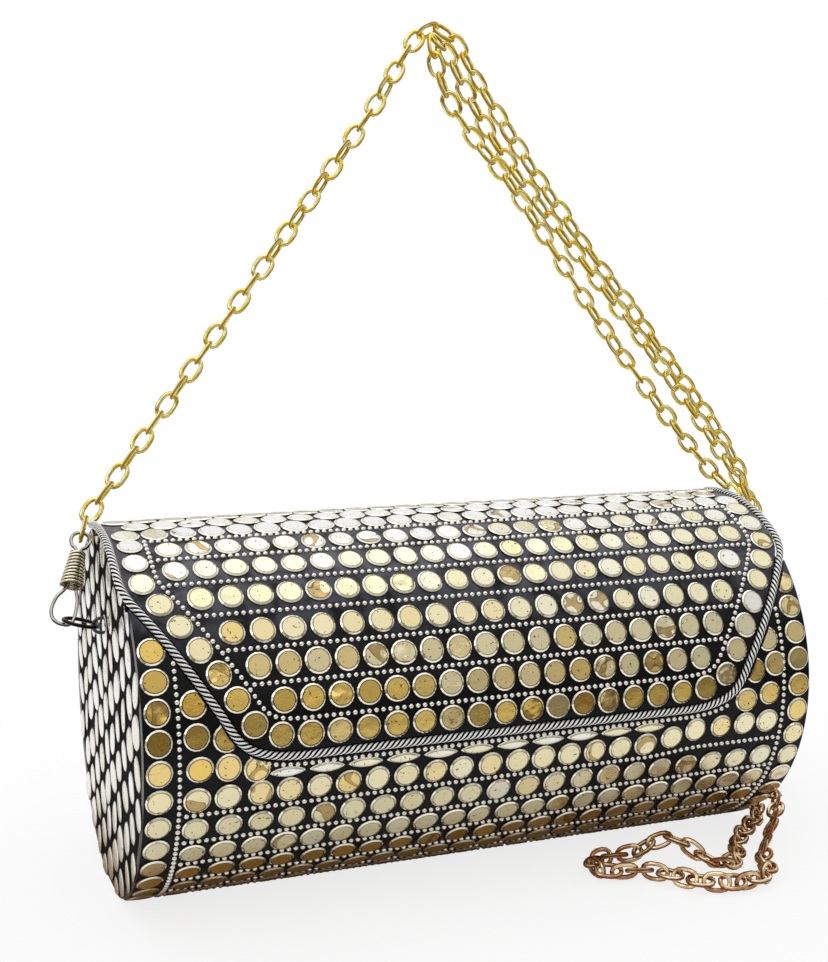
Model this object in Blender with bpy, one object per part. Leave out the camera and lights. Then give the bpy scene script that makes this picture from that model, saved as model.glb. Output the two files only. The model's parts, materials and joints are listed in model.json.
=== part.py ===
"""Cylinder clutch bag: a rigid mosaic barrel with a hinged flap, tiled end caps and a chain strap.

The barrel lies along X with its left end at -X, the flap faces -Y and opens up and back.
The origin is the middle of the small flat strip that the bag rests on, and +Z is up.
Angles round the barrel are in degrees: 0 is the front (-Y), 90 the top and 180 the back.
"""
import math

import bmesh
import bpy
from mathutils import Matrix, Vector

MM = 0.001

# Barrel and flap
BARREL_LENGTH = 188 * MM
GROUND_RADIUS = 49.3 * MM      # resin ground that the discs are set in
DISC_DOME = 0.6 * MM           # how far a disc's crown stands above the ground
FLAT_DEPTH = 0.9 * MM          # flat strip cut from the ground under the barrel
WALL = 2.6 * MM
DISC_PITCH = 7.8 * MM          # along a row
BARREL_ROWS = 36
BARREL_FIRST_ROW = -13.0       # angle of the middle of a row of discs
FLAP_ROW_PITCH = 10.5
FLAP_FIRST_ROW = 3.0
FLAP_ROWS = 11
GAP = 0.3 * MM                 # between pieces that rest on each other

# Outline of the flap, along the middle of its rope trim
ROPE_RADIUS = 1.1 * MM
ROPE_SIDES = 6
FLAP_FRONT_ANGLE = -3.0
FLAP_FRONT_HALF = 56 * MM      # half the straight front edge
FLAP_CORNER_HALF = 72 * MM     # half width where the round corner ends
FLAP_CORNER_ANGLE = 5.5
FLAP_RIM_ANGLE = 49.5          # where the slanted side meets the barrel's rim
ROPE_END_ANGLE = 100.0
CORNER_STEP = 1.5
SIDE_STEP = 11.0
CUTTER_MARGIN = 6 * MM         # how far the cutting block runs past the wall on both sides

# Hinge
HINGE_ANGLE = 106.0
KNUCKLE_RADIUS = 1.1 * MM
KNUCKLE_BORE = 0.85 * MM
PIN_RADIUS = 0.75 * MM
PIN_SIDES = 12
HINGE_LENGTH = 160 * MM
KNUCKLE_COUNT = 5
LEAF_THICKNESS = 0.8 * MM
LEAF_DEPTH = 2.4 * MM          # from the pin's axis down into the joint
LEAF_CLEAR = 1.4 * MM          # from the pin's axis to the strip of the leaf
HINGE_PLAY = 0.05 * MM
HINGE_EDGE = LEAF_THICKNESS + 2 * GAP + HINGE_PLAY

# Lining and catch
LINING = 0.7 * MM
LINING_START = 110.0
LINING_END = 336.0
FLAP_LINING_START = 17.0
FLAP_LINING_END = 101.0
FLAP_LINING_INSET = 5 * MM
LINING_STEP = 10.0
LIP_START = -23.0
LIP_END = 14.0
LIP_HALF = 14 * MM
LIP_THICKNESS = 2.0 * MM
LIP_STEP = 7.5
MAGNET_ANGLE = 6.0
MAGNET_RADIUS = 5 * MM
MAGNET_THICKNESS = 1.2 * MM
POCKET_DEPTH = 1.8 * MM

# End caps
CAP_THICKNESS = 3 * MM
TILE_PITCH = 8 * MM
TILE_DOME = 0.5 * MM

# Staple, ring and clasp at each end
FITTING_CLEAR = 0.8 * MM       # from the cap's face to the ends of the staple
RING_DROP = 25.3 * MM          # from the barrel's top down to the ring
RING_RADIUS = 4.6 * MM
RING_WIRE = 0.5 * MM
RING_TILT = 14.0               # its outer end is held up by the clasp
STAPLE_WIRE = 0.45 * MM
STAPLE_HALF = 1.9 * MM
CLASP_WIRE = 0.45 * MM
CLASP_DIRECTION = (8.0, 17.5, 21.0)   # right, back, up, at both ends
PEAR_HEIGHT = 11.3 * MM
NECK_LENGTH = 11.4 * MM
NECK_HALF = 0.6 * MM
EYE_HEIGHT = 5.8 * MM
COIL_WIRE = 0.4 * MM
COIL_TURNS = 8
COIL_TOP_RADIUS = 1.75 * MM
COIL_BOTTOM_RADIUS = 2.75 * MM
COIL_POINTS = 8                # along each turn

# The clasp's wire in millimetres, (outwards, up): the pear loop's outer and inner side, then the eye
PEAR_OUTER = [(1.8, 0.3), (3.3, 1.6), (3.9, 4.2), (3.2, 7.8), (1.3, 11.3)]
PEAR_INNER = [(1.2, 0.2), (2.1, 1.4), (2.4, 4.0), (2.2, 8.0), (1.3, 11.3)]
EYE_SIDE = [(1.75, 24.6), (1.85, 26.2), (1.3, 27.8), (0.5, 28.5)]

# Chain strap
LINK_PITCH = 6.0 * MM
LINK_WIDTH = 5.6 * MM
LINK_WIRE = 0.75 * MM
LINK_CROSSING = 0.4 * MM      # how far the fused links reach through each other
LINK_SIDES = 3
LINK_END = 0.75                # the end's share of the link's width

AXIS_HEIGHT = GROUND_RADIUS - FLAT_DEPTH
INNER_RADIUS = GROUND_RADIUS - WALL
HALF_LENGTH = BARREL_LENGTH / 2
EDGE = ROPE_RADIUS + GAP       # from the rope's middle to the edge beside it
RIM_HALF = HALF_LENGTH + EDGE  # the rope's middle along the rim
TOP = AXIS_HEIGHT + GROUND_RADIUS
DEGREE = math.pi / 180

# The strap's route in millimetres. The first part is measured from the top of the barrel's left end
LEAVE_LEFT = [(-0.6, 20, -0.2), (9, 22, 11.6)]
# From the top of the barrel's middle
RISE_LEFT = [(-65, 23, 38.3), (-31, 26, 83.3), (-8, 30, 113.3), (3, 33, 129.3)]
OVER_THE_HOOK = [(9, 34.5, 136.8), (15, 35, 139.3), (21, 35, 135.3)]
FALL_FAR = [(29, 35, 123.3), (51, 35, 93.3)]
# From the top of the barrel's right end
PASS_FAR = [(-6, 35, 49.3), (23, 35, 14.3), (33, 35, -2.7)]
# From the table under the barrel's right end
DOWN_FAR = [(39, 34, 72), (40, 30, 42), (36, 22, 16), (24, 10, 4), (12, -4, 3)]
FLOOR_IN = [(5, -15, 3), (2.5, -23.5, 3), (-5, -30.5, 3), (-12, -36.5, 3), (-18, -43, 3), (-22.5, -49.5, 3)]
FLOOR_DIP = [(-27, -54.5, 3), (-33, -54.5, 3.5)]
FLOOR_HUMP = [(-37, -50, 6), (-41, -46.5, 9), (-46, -44, 7.5), (-50, -41, 4)]
FLOOR_FOLD = [(-54, -39, 3), (-59.5, -38.5, 3), (-64, -41.5, 3), (-64, -46.5, 3), (-59.5, -49.5, 3), (-53, -51, 3)]
FLOOR_OUT = [(-48, -56, 3), (-44, -62, 3), (-37, -66.5, 3), (-29.5, -67.5, 3), (-22.5, -64.5, 3),
             (-19, -58.5, 3), (-15.5, -52, 3)]
FLOOR_OVER = [(-9, -44.5, 4), (-2, -37.5, 6.3), (4.5, -29, 8.7), (6.5, -20, 9.3), (12, -10, 9.3), (19, -4.5, 8.5)]
RISE_MIDDLE = [(26, 2, 8), (36, 12, 17), (40, 21, 42), (38, 27, 72)]
# From the top of the barrel's right end
PASS_MIDDLE = [(30, 28.5, -5.7), (16, 28.5, 13.3), (-14, 28.5, 49.3)]
# From the top of the barrel's middle
TO_THE_HOOK = [(42, 28.5, 92.3), (30, 28.5, 107.3), (21, 28.5, 121.3)]
FOLD_AT_HOOK = [(16, 28.5, 130.3), (12, 27, 134.8), (9, 24.5, 133.8), (9, 22.5, 128.3)]
FALL_NEAR = [(13, 22, 117.3), (21, 22, 106.3), (34, 22, 92.3)]
# From the top of the barrel's right end
REACH_RIGHT = [(-30.3, 22, 52.3), (-11.7, 22, 29.6), (3, 22, 12.5), (11.5, 22.3, 3.7), (17.5, 21, -1.8)]


def on_barrel(x, angle, radius):
    """The point at an angle round the barrel and a distance from its axis."""
    turn = angle * DEGREE
    return Vector((x, -radius * math.cos(turn), AXIS_HEIGHT + radius * math.sin(turn)))


def outward(angle):
    """The direction away from the axis at an angle round the barrel."""
    turn = angle * DEGREE
    return Vector((0, -math.cos(turn), math.sin(turn)))


def arc_angle(length, radius=GROUND_RADIUS):
    """The angle that a length takes up round the barrel."""
    return length / radius / DEGREE


def material(name, colour, metallic, roughness):
    made = bpy.data.materials.new(name)
    made.use_nodes = True
    shader = made.node_tree.nodes["Principled BSDF"]
    shader.inputs["Base Color"].default_value = (*colour, 1)
    shader.inputs["Metallic"].default_value = metallic
    shader.inputs["Roughness"].default_value = roughness
    return made


def new_collection(name):
    made = bpy.data.collections.new(name)
    bpy.context.scene.collection.children.link(made)
    return made


def mesh_object(name, bm, finish, collection):
    """An object from a bmesh, with its faces pointing out."""
    bmesh.ops.recalc_face_normals(bm, faces=bm.faces)
    mesh = bpy.data.meshes.new(name)
    bm.to_mesh(mesh)
    bm.free()
    mesh.materials.append(finish)
    made = bpy.data.objects.new(name, mesh)
    collection.objects.link(made)
    return made


def cutter(obj):
    """Marks a shape that only cuts or joins."""
    obj.hide_render = True
    obj.display_type = "WIRE"
    return obj


def boolean(obj, other, operation):
    change = obj.modifiers.new(operation.lower(), "BOOLEAN")
    change.operation = operation
    change.object = other


def loft(name, stations, finish, collection, closed=False):
    """A solid swept round the barrel: (angle, half width, inner radius, outer radius) at each station."""
    bm = bmesh.new()
    rings = []
    for angle, half, inner, outer in stations:
        corners = ((-half, inner), (half, inner), (half, outer), (-half, outer))
        rings.append([bm.verts.new(on_barrel(x, angle, radius)) for x, radius in corners])
    pairs = list(zip(rings, rings[1:]))
    if closed:
        pairs.append((rings[-1], rings[0]))
    for first, second in pairs:
        for i in range(4):
            j = (i + 1) % 4
            bm.faces.new((first[i], first[j], second[j], second[i]))
    if not closed:
        bm.faces.new(rings[0])
        bm.faces.new(rings[-1])
    return mesh_object(name, bm, finish, collection)


def steps(start, end, size):
    """Angles from start to end, both kept, no further apart than size."""
    count = max(1, math.ceil(abs(end - start) / size))
    return [start + (end - start) * i / count for i in range(count + 1)]


def cylinder(name, centre, axis, radius, length, sides, finish, collection):
    bm = bmesh.new()
    bmesh.ops.create_cone(bm, cap_ends=True, segments=sides, radius1=radius, radius2=radius, depth=length)
    turn = Vector((0, 0, 1)).rotation_difference(axis).to_matrix().to_4x4()
    bmesh.ops.transform(bm, matrix=Matrix.Translation(centre) @ turn, verts=bm.verts)
    return mesh_object(name, bm, finish, collection)


def tube(name, points, radius, sides, finish, collection, closed=False):
    """A wire through the points, made a mesh with welded caps."""
    curve = bpy.data.curves.new(name, "CURVE")
    curve.dimensions = "3D"
    curve.bevel_depth = radius
    curve.bevel_resolution = sides // 2 - 2
    curve.use_fill_caps = not closed
    spline = curve.splines.new("POLY")
    spline.points.add(len(points) - 1)
    for point, place in zip(spline.points, points):
        point.co = (*place, 1)
    spline.use_cyclic_u = closed
    guide = bpy.data.objects.new(name + "_curve", curve)
    collection.objects.link(guide)
    return curve_to_mesh(name, guide, finish, collection)


def curve_to_mesh(name, guide, finish, collection):
    """Takes a curve object's evaluated mesh, welds its caps and removes the curve."""
    bpy.context.view_layer.update()
    evaluated = guide.evaluated_get(bpy.context.evaluated_depsgraph_get())
    mesh = bpy.data.meshes.new_from_object(evaluated)
    bpy.data.objects.remove(guide)
    bm = bmesh.new()
    bm.from_mesh(mesh)
    bpy.data.meshes.remove(mesh)
    bmesh.ops.remove_doubles(bm, verts=bm.verts, dist=0.01 * MM)
    return mesh_object(name, bm, finish, collection)


def rope_half_width(angle):
    """Half the width between the rope's two sides: round corner, slanted side, then the rim."""
    if angle < FLAP_CORNER_ANGLE:
        across = (FLAP_CORNER_ANGLE - angle) / (FLAP_CORNER_ANGLE - FLAP_FRONT_ANGLE)
        return FLAP_FRONT_HALF + (FLAP_CORNER_HALF - FLAP_FRONT_HALF) * math.sqrt(max(0, 1 - across ** 2))
    along = min(1, (angle - FLAP_CORNER_ANGLE) / (FLAP_RIM_ANGLE - FLAP_CORNER_ANGLE))
    return FLAP_CORNER_HALF + (RIM_HALF - FLAP_CORNER_HALF) * along


def outline(end):
    """The middle of the rope up the flap's right side as (half width, angle), close together in the corner."""
    corner = steps(FLAP_FRONT_ANGLE, FLAP_CORNER_ANGLE, CORNER_STEP)
    slant = steps(FLAP_CORNER_ANGLE, FLAP_RIM_ANGLE, SIDE_STEP)
    rim = steps(FLAP_RIM_ANGLE, end, SIDE_STEP)
    return [(rope_half_width(angle), angle) for angle in corner + slant[1:] + rim[1:]]


def moved_outline(offset, end):
    """The outline moved sideways over the barrel's surface; along the rim it runs past the barrel's end."""
    points = outline(end)
    moved = []
    for i, (half, angle) in enumerate(points):
        before = points[max(i - 1, 0)]
        after = points[min(i + 1, len(points) - 1)]
        along_x = after[0] - before[0]
        along_arc = (after[1] - before[1]) * DEGREE * GROUND_RADIUS
        length = math.hypot(along_x, along_arc)
        if i == 0:
            moved.append((half, angle - arc_angle(offset)))
        elif angle > FLAP_RIM_ANGLE:
            moved.append((HALF_LENGTH + 2 * EDGE, angle))
        else:
            moved.append((half + offset * along_arc / length, angle - arc_angle(offset * along_x / length)))
    return moved


def flap_wedge(name, offset, rear_angle, collection, finish):
    """The block that cuts the flap out of the wall, its edge moved off the rope's middle by offset."""
    stations = [(angle, half, INNER_RADIUS - CUTTER_MARGIN, GROUND_RADIUS + CUTTER_MARGIN)
                for half, angle in moved_outline(offset, rear_angle)]
    return cutter(loft(name, stations, finish, collection))


def studded_shell(name, first_row, row_pitch, rows, finish, collection):
    """A wall of disc rows: a grid bent round the axis and thickened, its outer cells poked up into discs."""
    columns = round(BARREL_LENGTH / DISC_PITCH)
    bm = bmesh.new()
    bmesh.ops.create_grid(bm, x_segments=columns, y_segments=rows, size=1)
    start = first_row - row_pitch / 2
    for vert in bm.verts:
        angle = start + (vert.co.y + 1) / 2 * rows * row_pitch
        vert.co = on_barrel(vert.co.x * HALF_LENGTH, angle, GROUND_RADIUS)
    bmesh.ops.remove_doubles(bm, verts=bm.verts, dist=0.01 * MM)
    bmesh.ops.recalc_face_normals(bm, faces=bm.faces)
    axis_point = Vector((0, 0, AXIS_HEIGHT))
    facing = sum(face.normal.dot(face.calc_center_median() - axis_point) for face in bm.faces)
    if facing < 0:
        bmesh.ops.reverse_faces(bm, faces=bm.faces)
    bm.normal_update()
    outer = list(bm.faces)
    grown = bmesh.ops.extrude_face_region(bm, geom=outer)
    inner_scale = INNER_RADIUS / GROUND_RADIUS
    grown_verts = [item for item in grown["geom"] if isinstance(item, bmesh.types.BMVert)]
    grown_faces = [item for item in grown["geom"] if isinstance(item, bmesh.types.BMFace)]
    for vert in grown_verts:
        vert.co.y *= inner_scale
        vert.co.z = AXIS_HEIGHT + (vert.co.z - AXIS_HEIGHT) * inner_scale
    bmesh.ops.recalc_face_normals(bm, faces=bm.faces)
    middle = (INNER_RADIUS + GROUND_RADIUS) / 2
    wall = [face for face in bm.faces if abs(face.normal.x) < 0.5]
    skin = [face for face in wall
            if math.hypot(face.calc_center_median().y, face.calc_center_median().z - AXIS_HEIGHT) > middle
            and len(face.verts) == 4 and face.normal.dot(outward_of(face)) > 0.9]
    bmesh.ops.poke(bm, faces=skin, offset=DISC_DOME)
    inner = [item for item in grown_verts if item.is_valid]
    inner_edges = list({edge for vert in inner for edge in vert.link_edges
                        if all(end in set(inner) for end in edge.verts)})
    bmesh.ops.dissolve_limit(bm, angle_limit=1 * DEGREE, verts=inner, edges=inner_edges)
    return mesh_object(name, bm, finish, collection)


def outward_of(face):
    """The direction from the barrel's axis to a face's middle."""
    centre = face.calc_center_median()
    return Vector((0, centre.y, centre.z - AXIS_HEIGHT)).normalized()


def make_barrel(parts, guides, finish):
    """The rigid tube with its disc rows, cut open under the flap and flattened underneath."""
    barrel = studded_shell("barrel", BARREL_FIRST_ROW, 360 / BARREL_ROWS, BARREL_ROWS, finish, parts)
    rear = HINGE_ANGLE + arc_angle(HINGE_EDGE)
    boolean(barrel, flap_wedge("flap_opening_cutter", EDGE, rear, guides, finish), "DIFFERENCE")
    bm = bmesh.new()
    bmesh.ops.create_cube(bm, size=1)
    depth = 4 * MM
    size = Matrix.Diagonal((BARREL_LENGTH + 2 * depth, GROUND_RADIUS, depth, 1))
    bmesh.ops.transform(bm, matrix=Matrix.Translation((0, 0, -depth / 2)) @ size, verts=bm.verts)
    boolean(barrel, cutter(mesh_object("flat_strip_cutter", bm, finish, guides)), "DIFFERENCE")
    return barrel


def make_flap(parts, guides, finish):
    """The curved lid, with a pocket for its magnet in the inner face."""
    flap = studded_shell("flap", FLAP_FIRST_ROW, FLAP_ROW_PITCH, FLAP_ROWS, finish, parts)
    rear = HINGE_ANGLE - arc_angle(HINGE_EDGE)
    boolean(flap, flap_wedge("flap_outline_cutter", -EDGE, rear, guides, finish), "INTERSECT")
    top = INNER_RADIUS + POCKET_DEPTH
    depth = 2 * POCKET_DEPTH + 2 * MM
    centre = on_barrel(0, MAGNET_ANGLE, top - depth / 2)
    pocket = cylinder("magnet_pocket_cutter", centre, outward(MAGNET_ANGLE), MAGNET_RADIUS + GAP, depth, 16,
                      finish, guides)
    boolean(flap, cutter(pocket), "DIFFERENCE")
    return flap


def make_rope(parts, finish):
    """The rope trim round the flap's front and sides, in the joint between flap and barrel."""
    radius = GROUND_RADIUS
    side = [on_barrel(half, angle, radius) for half, angle in outline(ROPE_END_ANGLE)]
    front = [on_barrel(FLAP_FRONT_HALF * share, FLAP_FRONT_ANGLE, radius) for share in (0.5, 0, -0.5)]
    left = [Vector((-place.x, place.y, place.z)) for place in side]
    return tube("flap_rope_trim", side[::-1] + front + left, ROPE_RADIUS, ROPE_SIDES, finish, parts)


def make_end_cap(name, side, parts, guides, finish):
    """A round plate in the barrel's end, its face a field of small domed tiles."""
    radius = INNER_RADIUS - GAP
    count = math.ceil(2 * radius / TILE_PITCH)
    half = count * TILE_PITCH / 2
    bm = bmesh.new()
    bmesh.ops.create_grid(bm, x_segments=count, y_segments=count, size=half)
    base = list(bm.faces)
    top = bmesh.ops.extrude_face_region(bm, geom=base)
    moved = [item for item in top["geom"] if isinstance(item, bmesh.types.BMVert)]
    tiles = [item for item in top["geom"] if isinstance(item, bmesh.types.BMFace)]
    bmesh.ops.translate(bm, vec=(0, 0, CAP_THICKNESS), verts=moved)
    bmesh.ops.poke(bm, faces=tiles, offset=TILE_DOME)
    lower = [vert for vert in bm.verts if vert.co.z < CAP_THICKNESS / 2]
    lower_edges = [edge for edge in bm.edges if all(end.co.z < CAP_THICKNESS / 2 for end in edge.verts)]
    bmesh.ops.dissolve_limit(bm, angle_limit=1 * DEGREE, verts=lower, edges=lower_edges)
    turn = Vector((0, 0, 1)).rotation_difference(Vector((side, 0, 0))).to_matrix().to_4x4()
    place = Matrix.Translation((side * (HALF_LENGTH - CAP_THICKNESS), 0, AXIS_HEIGHT))
    bmesh.ops.transform(bm, matrix=place @ turn, verts=bm.verts)
    cap = mesh_object(name, bm, finish, parts)
    centre = Vector((side * (HALF_LENGTH - CAP_THICKNESS / 2), 0, AXIS_HEIGHT))
    disc = cylinder(name + "_disc_cutter", centre, Vector((1, 0, 0)), radius, 4 * CAP_THICKNESS, BARREL_ROWS,
                    finish, guides)
    boolean(cap, cutter(disc), "INTERSECT")
    return cap


def make_linings(parts, finish):
    """The fabric inside the barrel, inside the flap and behind each end cap."""
    outer = INNER_RADIUS - GAP
    inner = outer - LINING
    lining_half = HALF_LENGTH - CAP_THICKNESS - GAP - GAP
    body = [(angle, lining_half, inner, outer) for angle in steps(LINING_START, LINING_END, LINING_STEP)]
    loft("barrel_lining", body, finish, parts)
    flap = []
    for angle in steps(FLAP_LINING_START, FLAP_LINING_END, LINING_STEP):
        half = min(rope_half_width(angle) - FLAP_LINING_INSET, lining_half)
        flap.append((angle, half, inner, outer))
    loft("flap_lining", flap, finish, parts)
    for name, side in (("left_end_lining", -1), ("right_end_lining", 1)):
        centre = Vector((side * (HALF_LENGTH - CAP_THICKNESS - GAP - LINING / 2), 0, AXIS_HEIGHT))
        cylinder(name, centre, Vector((1, 0, 0)), inner - GAP, LINING, BARREL_ROWS, finish, parts)


def make_catch(parts, guides, resin, steel):
    """The lip under the flap's front edge and the two halves of the magnetic catch."""
    outer = INNER_RADIUS - GAP
    stations = [(angle, LIP_HALF, outer - LIP_THICKNESS, outer)
                for angle in steps(LIP_START, LIP_END, LIP_STEP)]
    lip = loft("front_lip", stations, resin, parts)
    out = outward(MAGNET_ANGLE)
    middle = outer - LIP_THICKNESS / 2
    hole = cylinder("lip_hole_cutter", on_barrel(0, MAGNET_ANGLE, middle), out, MAGNET_RADIUS + GAP,
                    4 * LIP_THICKNESS, 16, steel, guides)
    boolean(lip, cutter(hole), "DIFFERENCE")
    cylinder("lip_magnet", on_barrel(0, MAGNET_ANGLE, middle), out, MAGNET_RADIUS, MAGNET_THICKNESS, 16,
             steel, parts)
    raised = INNER_RADIUS + POCKET_DEPTH - GAP - MAGNET_THICKNESS / 2
    cylinder("flap_magnet", on_barrel(0, MAGNET_ANGLE, raised), out, MAGNET_RADIUS, MAGNET_THICKNESS, 16,
             steel, parts)


def hinge_frame():
    """Turns local axes into the hinge's own: X along the pin, Y round towards the back, Z outwards."""
    out = outward(HINGE_ANGLE)
    along = Vector((1, 0, 0))
    back = out.cross(along)
    turn = Matrix((along, back, out)).transposed().to_4x4()
    return Matrix.Translation(on_barrel(0, HINGE_ANGLE, GROUND_RADIUS)) @ turn


def hinge_box(bm, x, y, low_z, high_z, width):
    """A block of the leaf's thickness in the hinge's own axes."""
    size = Matrix.Diagonal((width, LEAF_THICKNESS, high_z - low_z, 1))
    made = bmesh.ops.create_cube(bm, size=1)
    place = Matrix.Translation((x, y, (low_z + high_z) / 2)) @ size
    bmesh.ops.transform(bm, matrix=place, verts=made["verts"])


def make_hinge_leaf(name, side, which, parts, guides, finish):
    """A leaf standing in the joint, with a tab and a knuckle at every second place along the pin."""
    frame = hinge_frame()
    pitch = HINGE_LENGTH / KNUCKLE_COUNT
    y = side * (GAP + LEAF_THICKNESS / 2)
    bm = bmesh.new()
    hinge_box(bm, 0, y, -LEAF_DEPTH, -LEAF_CLEAR, HINGE_LENGTH)
    bmesh.ops.transform(bm, matrix=frame, verts=bm.verts)
    leaf = mesh_object(name, bm, finish, parts)
    for index in which:
        x = (index - (KNUCKLE_COUNT - 1) / 2) * pitch
        bm = bmesh.new()
        hinge_box(bm, x, y, -LEAF_CLEAR - GAP, -KNUCKLE_RADIUS / 2, pitch - 2 * GAP)
        bmesh.ops.transform(bm, matrix=frame, verts=bm.verts)
        tab = cutter(mesh_object(f"{name}_tab_{index}", bm, finish, guides))
        boolean(leaf, tab, "UNION")
        knuckle = cylinder(f"{name}_knuckle_{index}", frame @ Vector((x, 0, 0)), Vector((1, 0, 0)),
                           KNUCKLE_RADIUS, pitch - 2 * GAP, PIN_SIDES, finish, guides)
        boolean(leaf, cutter(knuckle), "UNION")
    bore = cylinder(name + "_bore_cutter", frame.translation, Vector((1, 0, 0)), KNUCKLE_BORE,
                    HINGE_LENGTH + 2 * pitch, PIN_SIDES, finish, guides)
    boolean(leaf, cutter(bore), "DIFFERENCE")
    return leaf


def make_hinge(parts, guides, finish):
    make_hinge_leaf("hinge_barrel_leaf", 1, range(0, KNUCKLE_COUNT, 2), parts, guides, finish)
    make_hinge_leaf("hinge_flap_leaf", -1, range(1, KNUCKLE_COUNT, 2), parts, guides, finish)
    cylinder("hinge_pin", hinge_frame().translation, Vector((1, 0, 0)), PIN_RADIUS, HINGE_LENGTH, PIN_SIDES,
             finish, parts)


def clasp_axis():
    """Either clasp's own up direction: it leans back and to the right, as the strap pulls it."""
    return Vector(CLASP_DIRECTION).normalized()


def clasp_outward(side):
    """The clasp's own sideways direction, square to its axis and away from the cap."""
    axis = clasp_axis()
    across = Vector((side, 0, 0))
    return (across - axis * across.dot(axis)).normalized()


def ring_centre(side):
    reach = HALF_LENGTH + FITTING_CLEAR + RING_WIRE + GAP + RING_RADIUS
    return Vector((side * reach, 0, TOP - RING_DROP))


def ring_point(side, turn):
    """A point of the ring, which lies nearly flat and points away from the cap at turn 0."""
    tilt = RING_TILT * DEGREE
    flat = RING_RADIUS * math.cos(turn * DEGREE)
    across = RING_RADIUS * math.sin(turn * DEGREE)
    return ring_centre(side) + Vector((side * flat * math.cos(tilt), across, flat * math.sin(tilt)))


def clasp_foot(side):
    """The lowest point of the clasp's wire, which passes under the outer end of the ring."""
    return ring_point(side, 0) - Vector((0, 0, RING_WIRE + GAP + CLASP_WIRE))


def staple_points(side):
    """A wire arch that stands out from the cap round the near end of the ring."""
    near = ring_point(side, 180)
    start = HALF_LENGTH + FITTING_CLEAR
    tip = abs(near.x) + RING_WIRE + GAP + STAPLE_WIRE
    shape = ((start, 1), ((start + tip) / 2, 0.95), (tip, 0.45), (tip, -0.45), ((start + tip) / 2, -0.95),
             (start, -1))
    return [Vector((side * x, 0, near.z + STAPLE_HALF * share)) for x, share in shape]


def clasp_outline(side):
    """The clasp's wire all the way round: foot, outer side, neck, eye, neck, inner side."""
    right = PEAR_OUTER + [(NECK_HALF / MM, (PEAR_HEIGHT + NECK_LENGTH) / MM)] + EYE_SIDE
    left = PEAR_INNER + [(NECK_HALF / MM, (PEAR_HEIGHT + NECK_LENGTH) / MM)] + EYE_SIDE
    flat = [(0, 0)] + right + [(-out, height) for out, height in left[::-1]]
    foot = clasp_foot(side)
    return [foot + (clasp_outward(side) * out + clasp_axis() * height) * MM for out, height in flat]


def coil_points(side):
    """The coil wound on the clasp's neck, narrower towards the eye."""
    up = clasp_axis()
    across = clasp_outward(side)
    back = up.cross(across)
    count = COIL_TURNS * COIL_POINTS
    start = PEAR_HEIGHT + COIL_WIRE
    height = NECK_LENGTH - 2 * COIL_WIRE
    points = []
    for i in range(count + 1):
        share = i / count
        turn = 2 * math.pi * i / COIL_POINTS
        radius = COIL_BOTTOM_RADIUS + (COIL_TOP_RADIUS - COIL_BOTTOM_RADIUS) * share
        ray = across * math.cos(turn) + back * math.sin(turn)
        points.append(clasp_foot(side) + ray * radius + up * (start + height * share))
    return points


def make_end_fittings(name, side, parts, black, steel, gold):
    """Staple, ring, wire clasp and the coil wound on its neck, at one end."""
    tube(f"{name}_ring_staple", staple_points(side), STAPLE_WIRE, 6, black, parts)
    ring = [ring_point(side, turn) for turn in range(0, 360, 30)]
    tube(f"{name}_ring", ring, RING_WIRE, 6, black, parts, closed=True)
    tube(f"{name}_clasp_wire", clasp_outline(side), CLASP_WIRE, 6, steel, parts, closed=True)
    tube(f"{name}_clasp_coil", coil_points(side), COIL_WIRE, 4, gold, parts)


def strap_end(side):
    """Where the strap's last link turns inside the clasp's eye."""
    height = PEAR_HEIGHT + NECK_LENGTH + EYE_HEIGHT - CLASP_WIRE - LINK_WIRE - GAP - LINK_CROSSING / 2
    return clasp_foot(side) + clasp_axis() * height


def smooth_route(points, per_span=24):
    """Points close together on a Catmull-Rom curve through the given ones."""
    padded = [points[0] * 2 - points[1]] + points + [points[-1] * 2 - points[-2]]
    route = []
    for a, b, c, d in zip(padded, padded[1:], padded[2:], padded[3:]):
        for i in range(per_span):
            t = i / per_span
            route.append(0.5 * ((2 * b) + (c - a) * t + (2 * a - 5 * b + 4 * c - d) * t ** 2
                                + (3 * b - a - 3 * c + d) * t ** 3))
    return route + [points[-1]]


def even_points(route, pitch):
    """Points along the route at equal spacing, as near to the pitch as fits it."""
    lengths = [0.0]
    for a, b in zip(route, route[1:]):
        lengths.append(lengths[-1] + (b - a).length)
    count = round(lengths[-1] / pitch)
    even = []
    at = 0
    for i in range(count + 1):
        target = lengths[-1] * i / count
        while at < len(route) - 2 and lengths[at + 1] < target:
            at += 1
        span = lengths[at + 1] - lengths[at]
        even.append(route[at].lerp(route[at + 1], (target - lengths[at]) / span))
    return even


def link_outline(start, end, width_axis):
    """Six points of a link with flat ends that reaches a little past its two joints."""
    middle = (start + end) / 2
    along = (end - start).normalized()
    half_length = (end - start).length / 2 + LINK_CROSSING / 2
    half_width = LINK_WIDTH / 2 - LINK_WIRE
    corners = ((1, LINK_END), (0, 1), (-1, LINK_END), (-1, -LINK_END), (0, -1), (1, -LINK_END))
    return [middle + along * half_length * a + width_axis * half_width * b for a, b in corners]


def link_profile(guides):
    """The few-sided section of the link's wire."""
    curve = bpy.data.curves.new("link_section", "CURVE")
    curve.dimensions = "2D"
    spline = curve.splines.new("POLY")
    spline.points.add(LINK_SIDES - 1)
    for i, point in enumerate(spline.points):
        turn = 2 * math.pi * i / LINK_SIDES
        point.co = (LINK_WIRE * math.cos(turn), LINK_WIRE * math.sin(turn), 0, 1)
    spline.use_cyclic_u = True
    section = bpy.data.objects.new("link_section", curve)
    guides.objects.link(section)
    return cutter(section)


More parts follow.
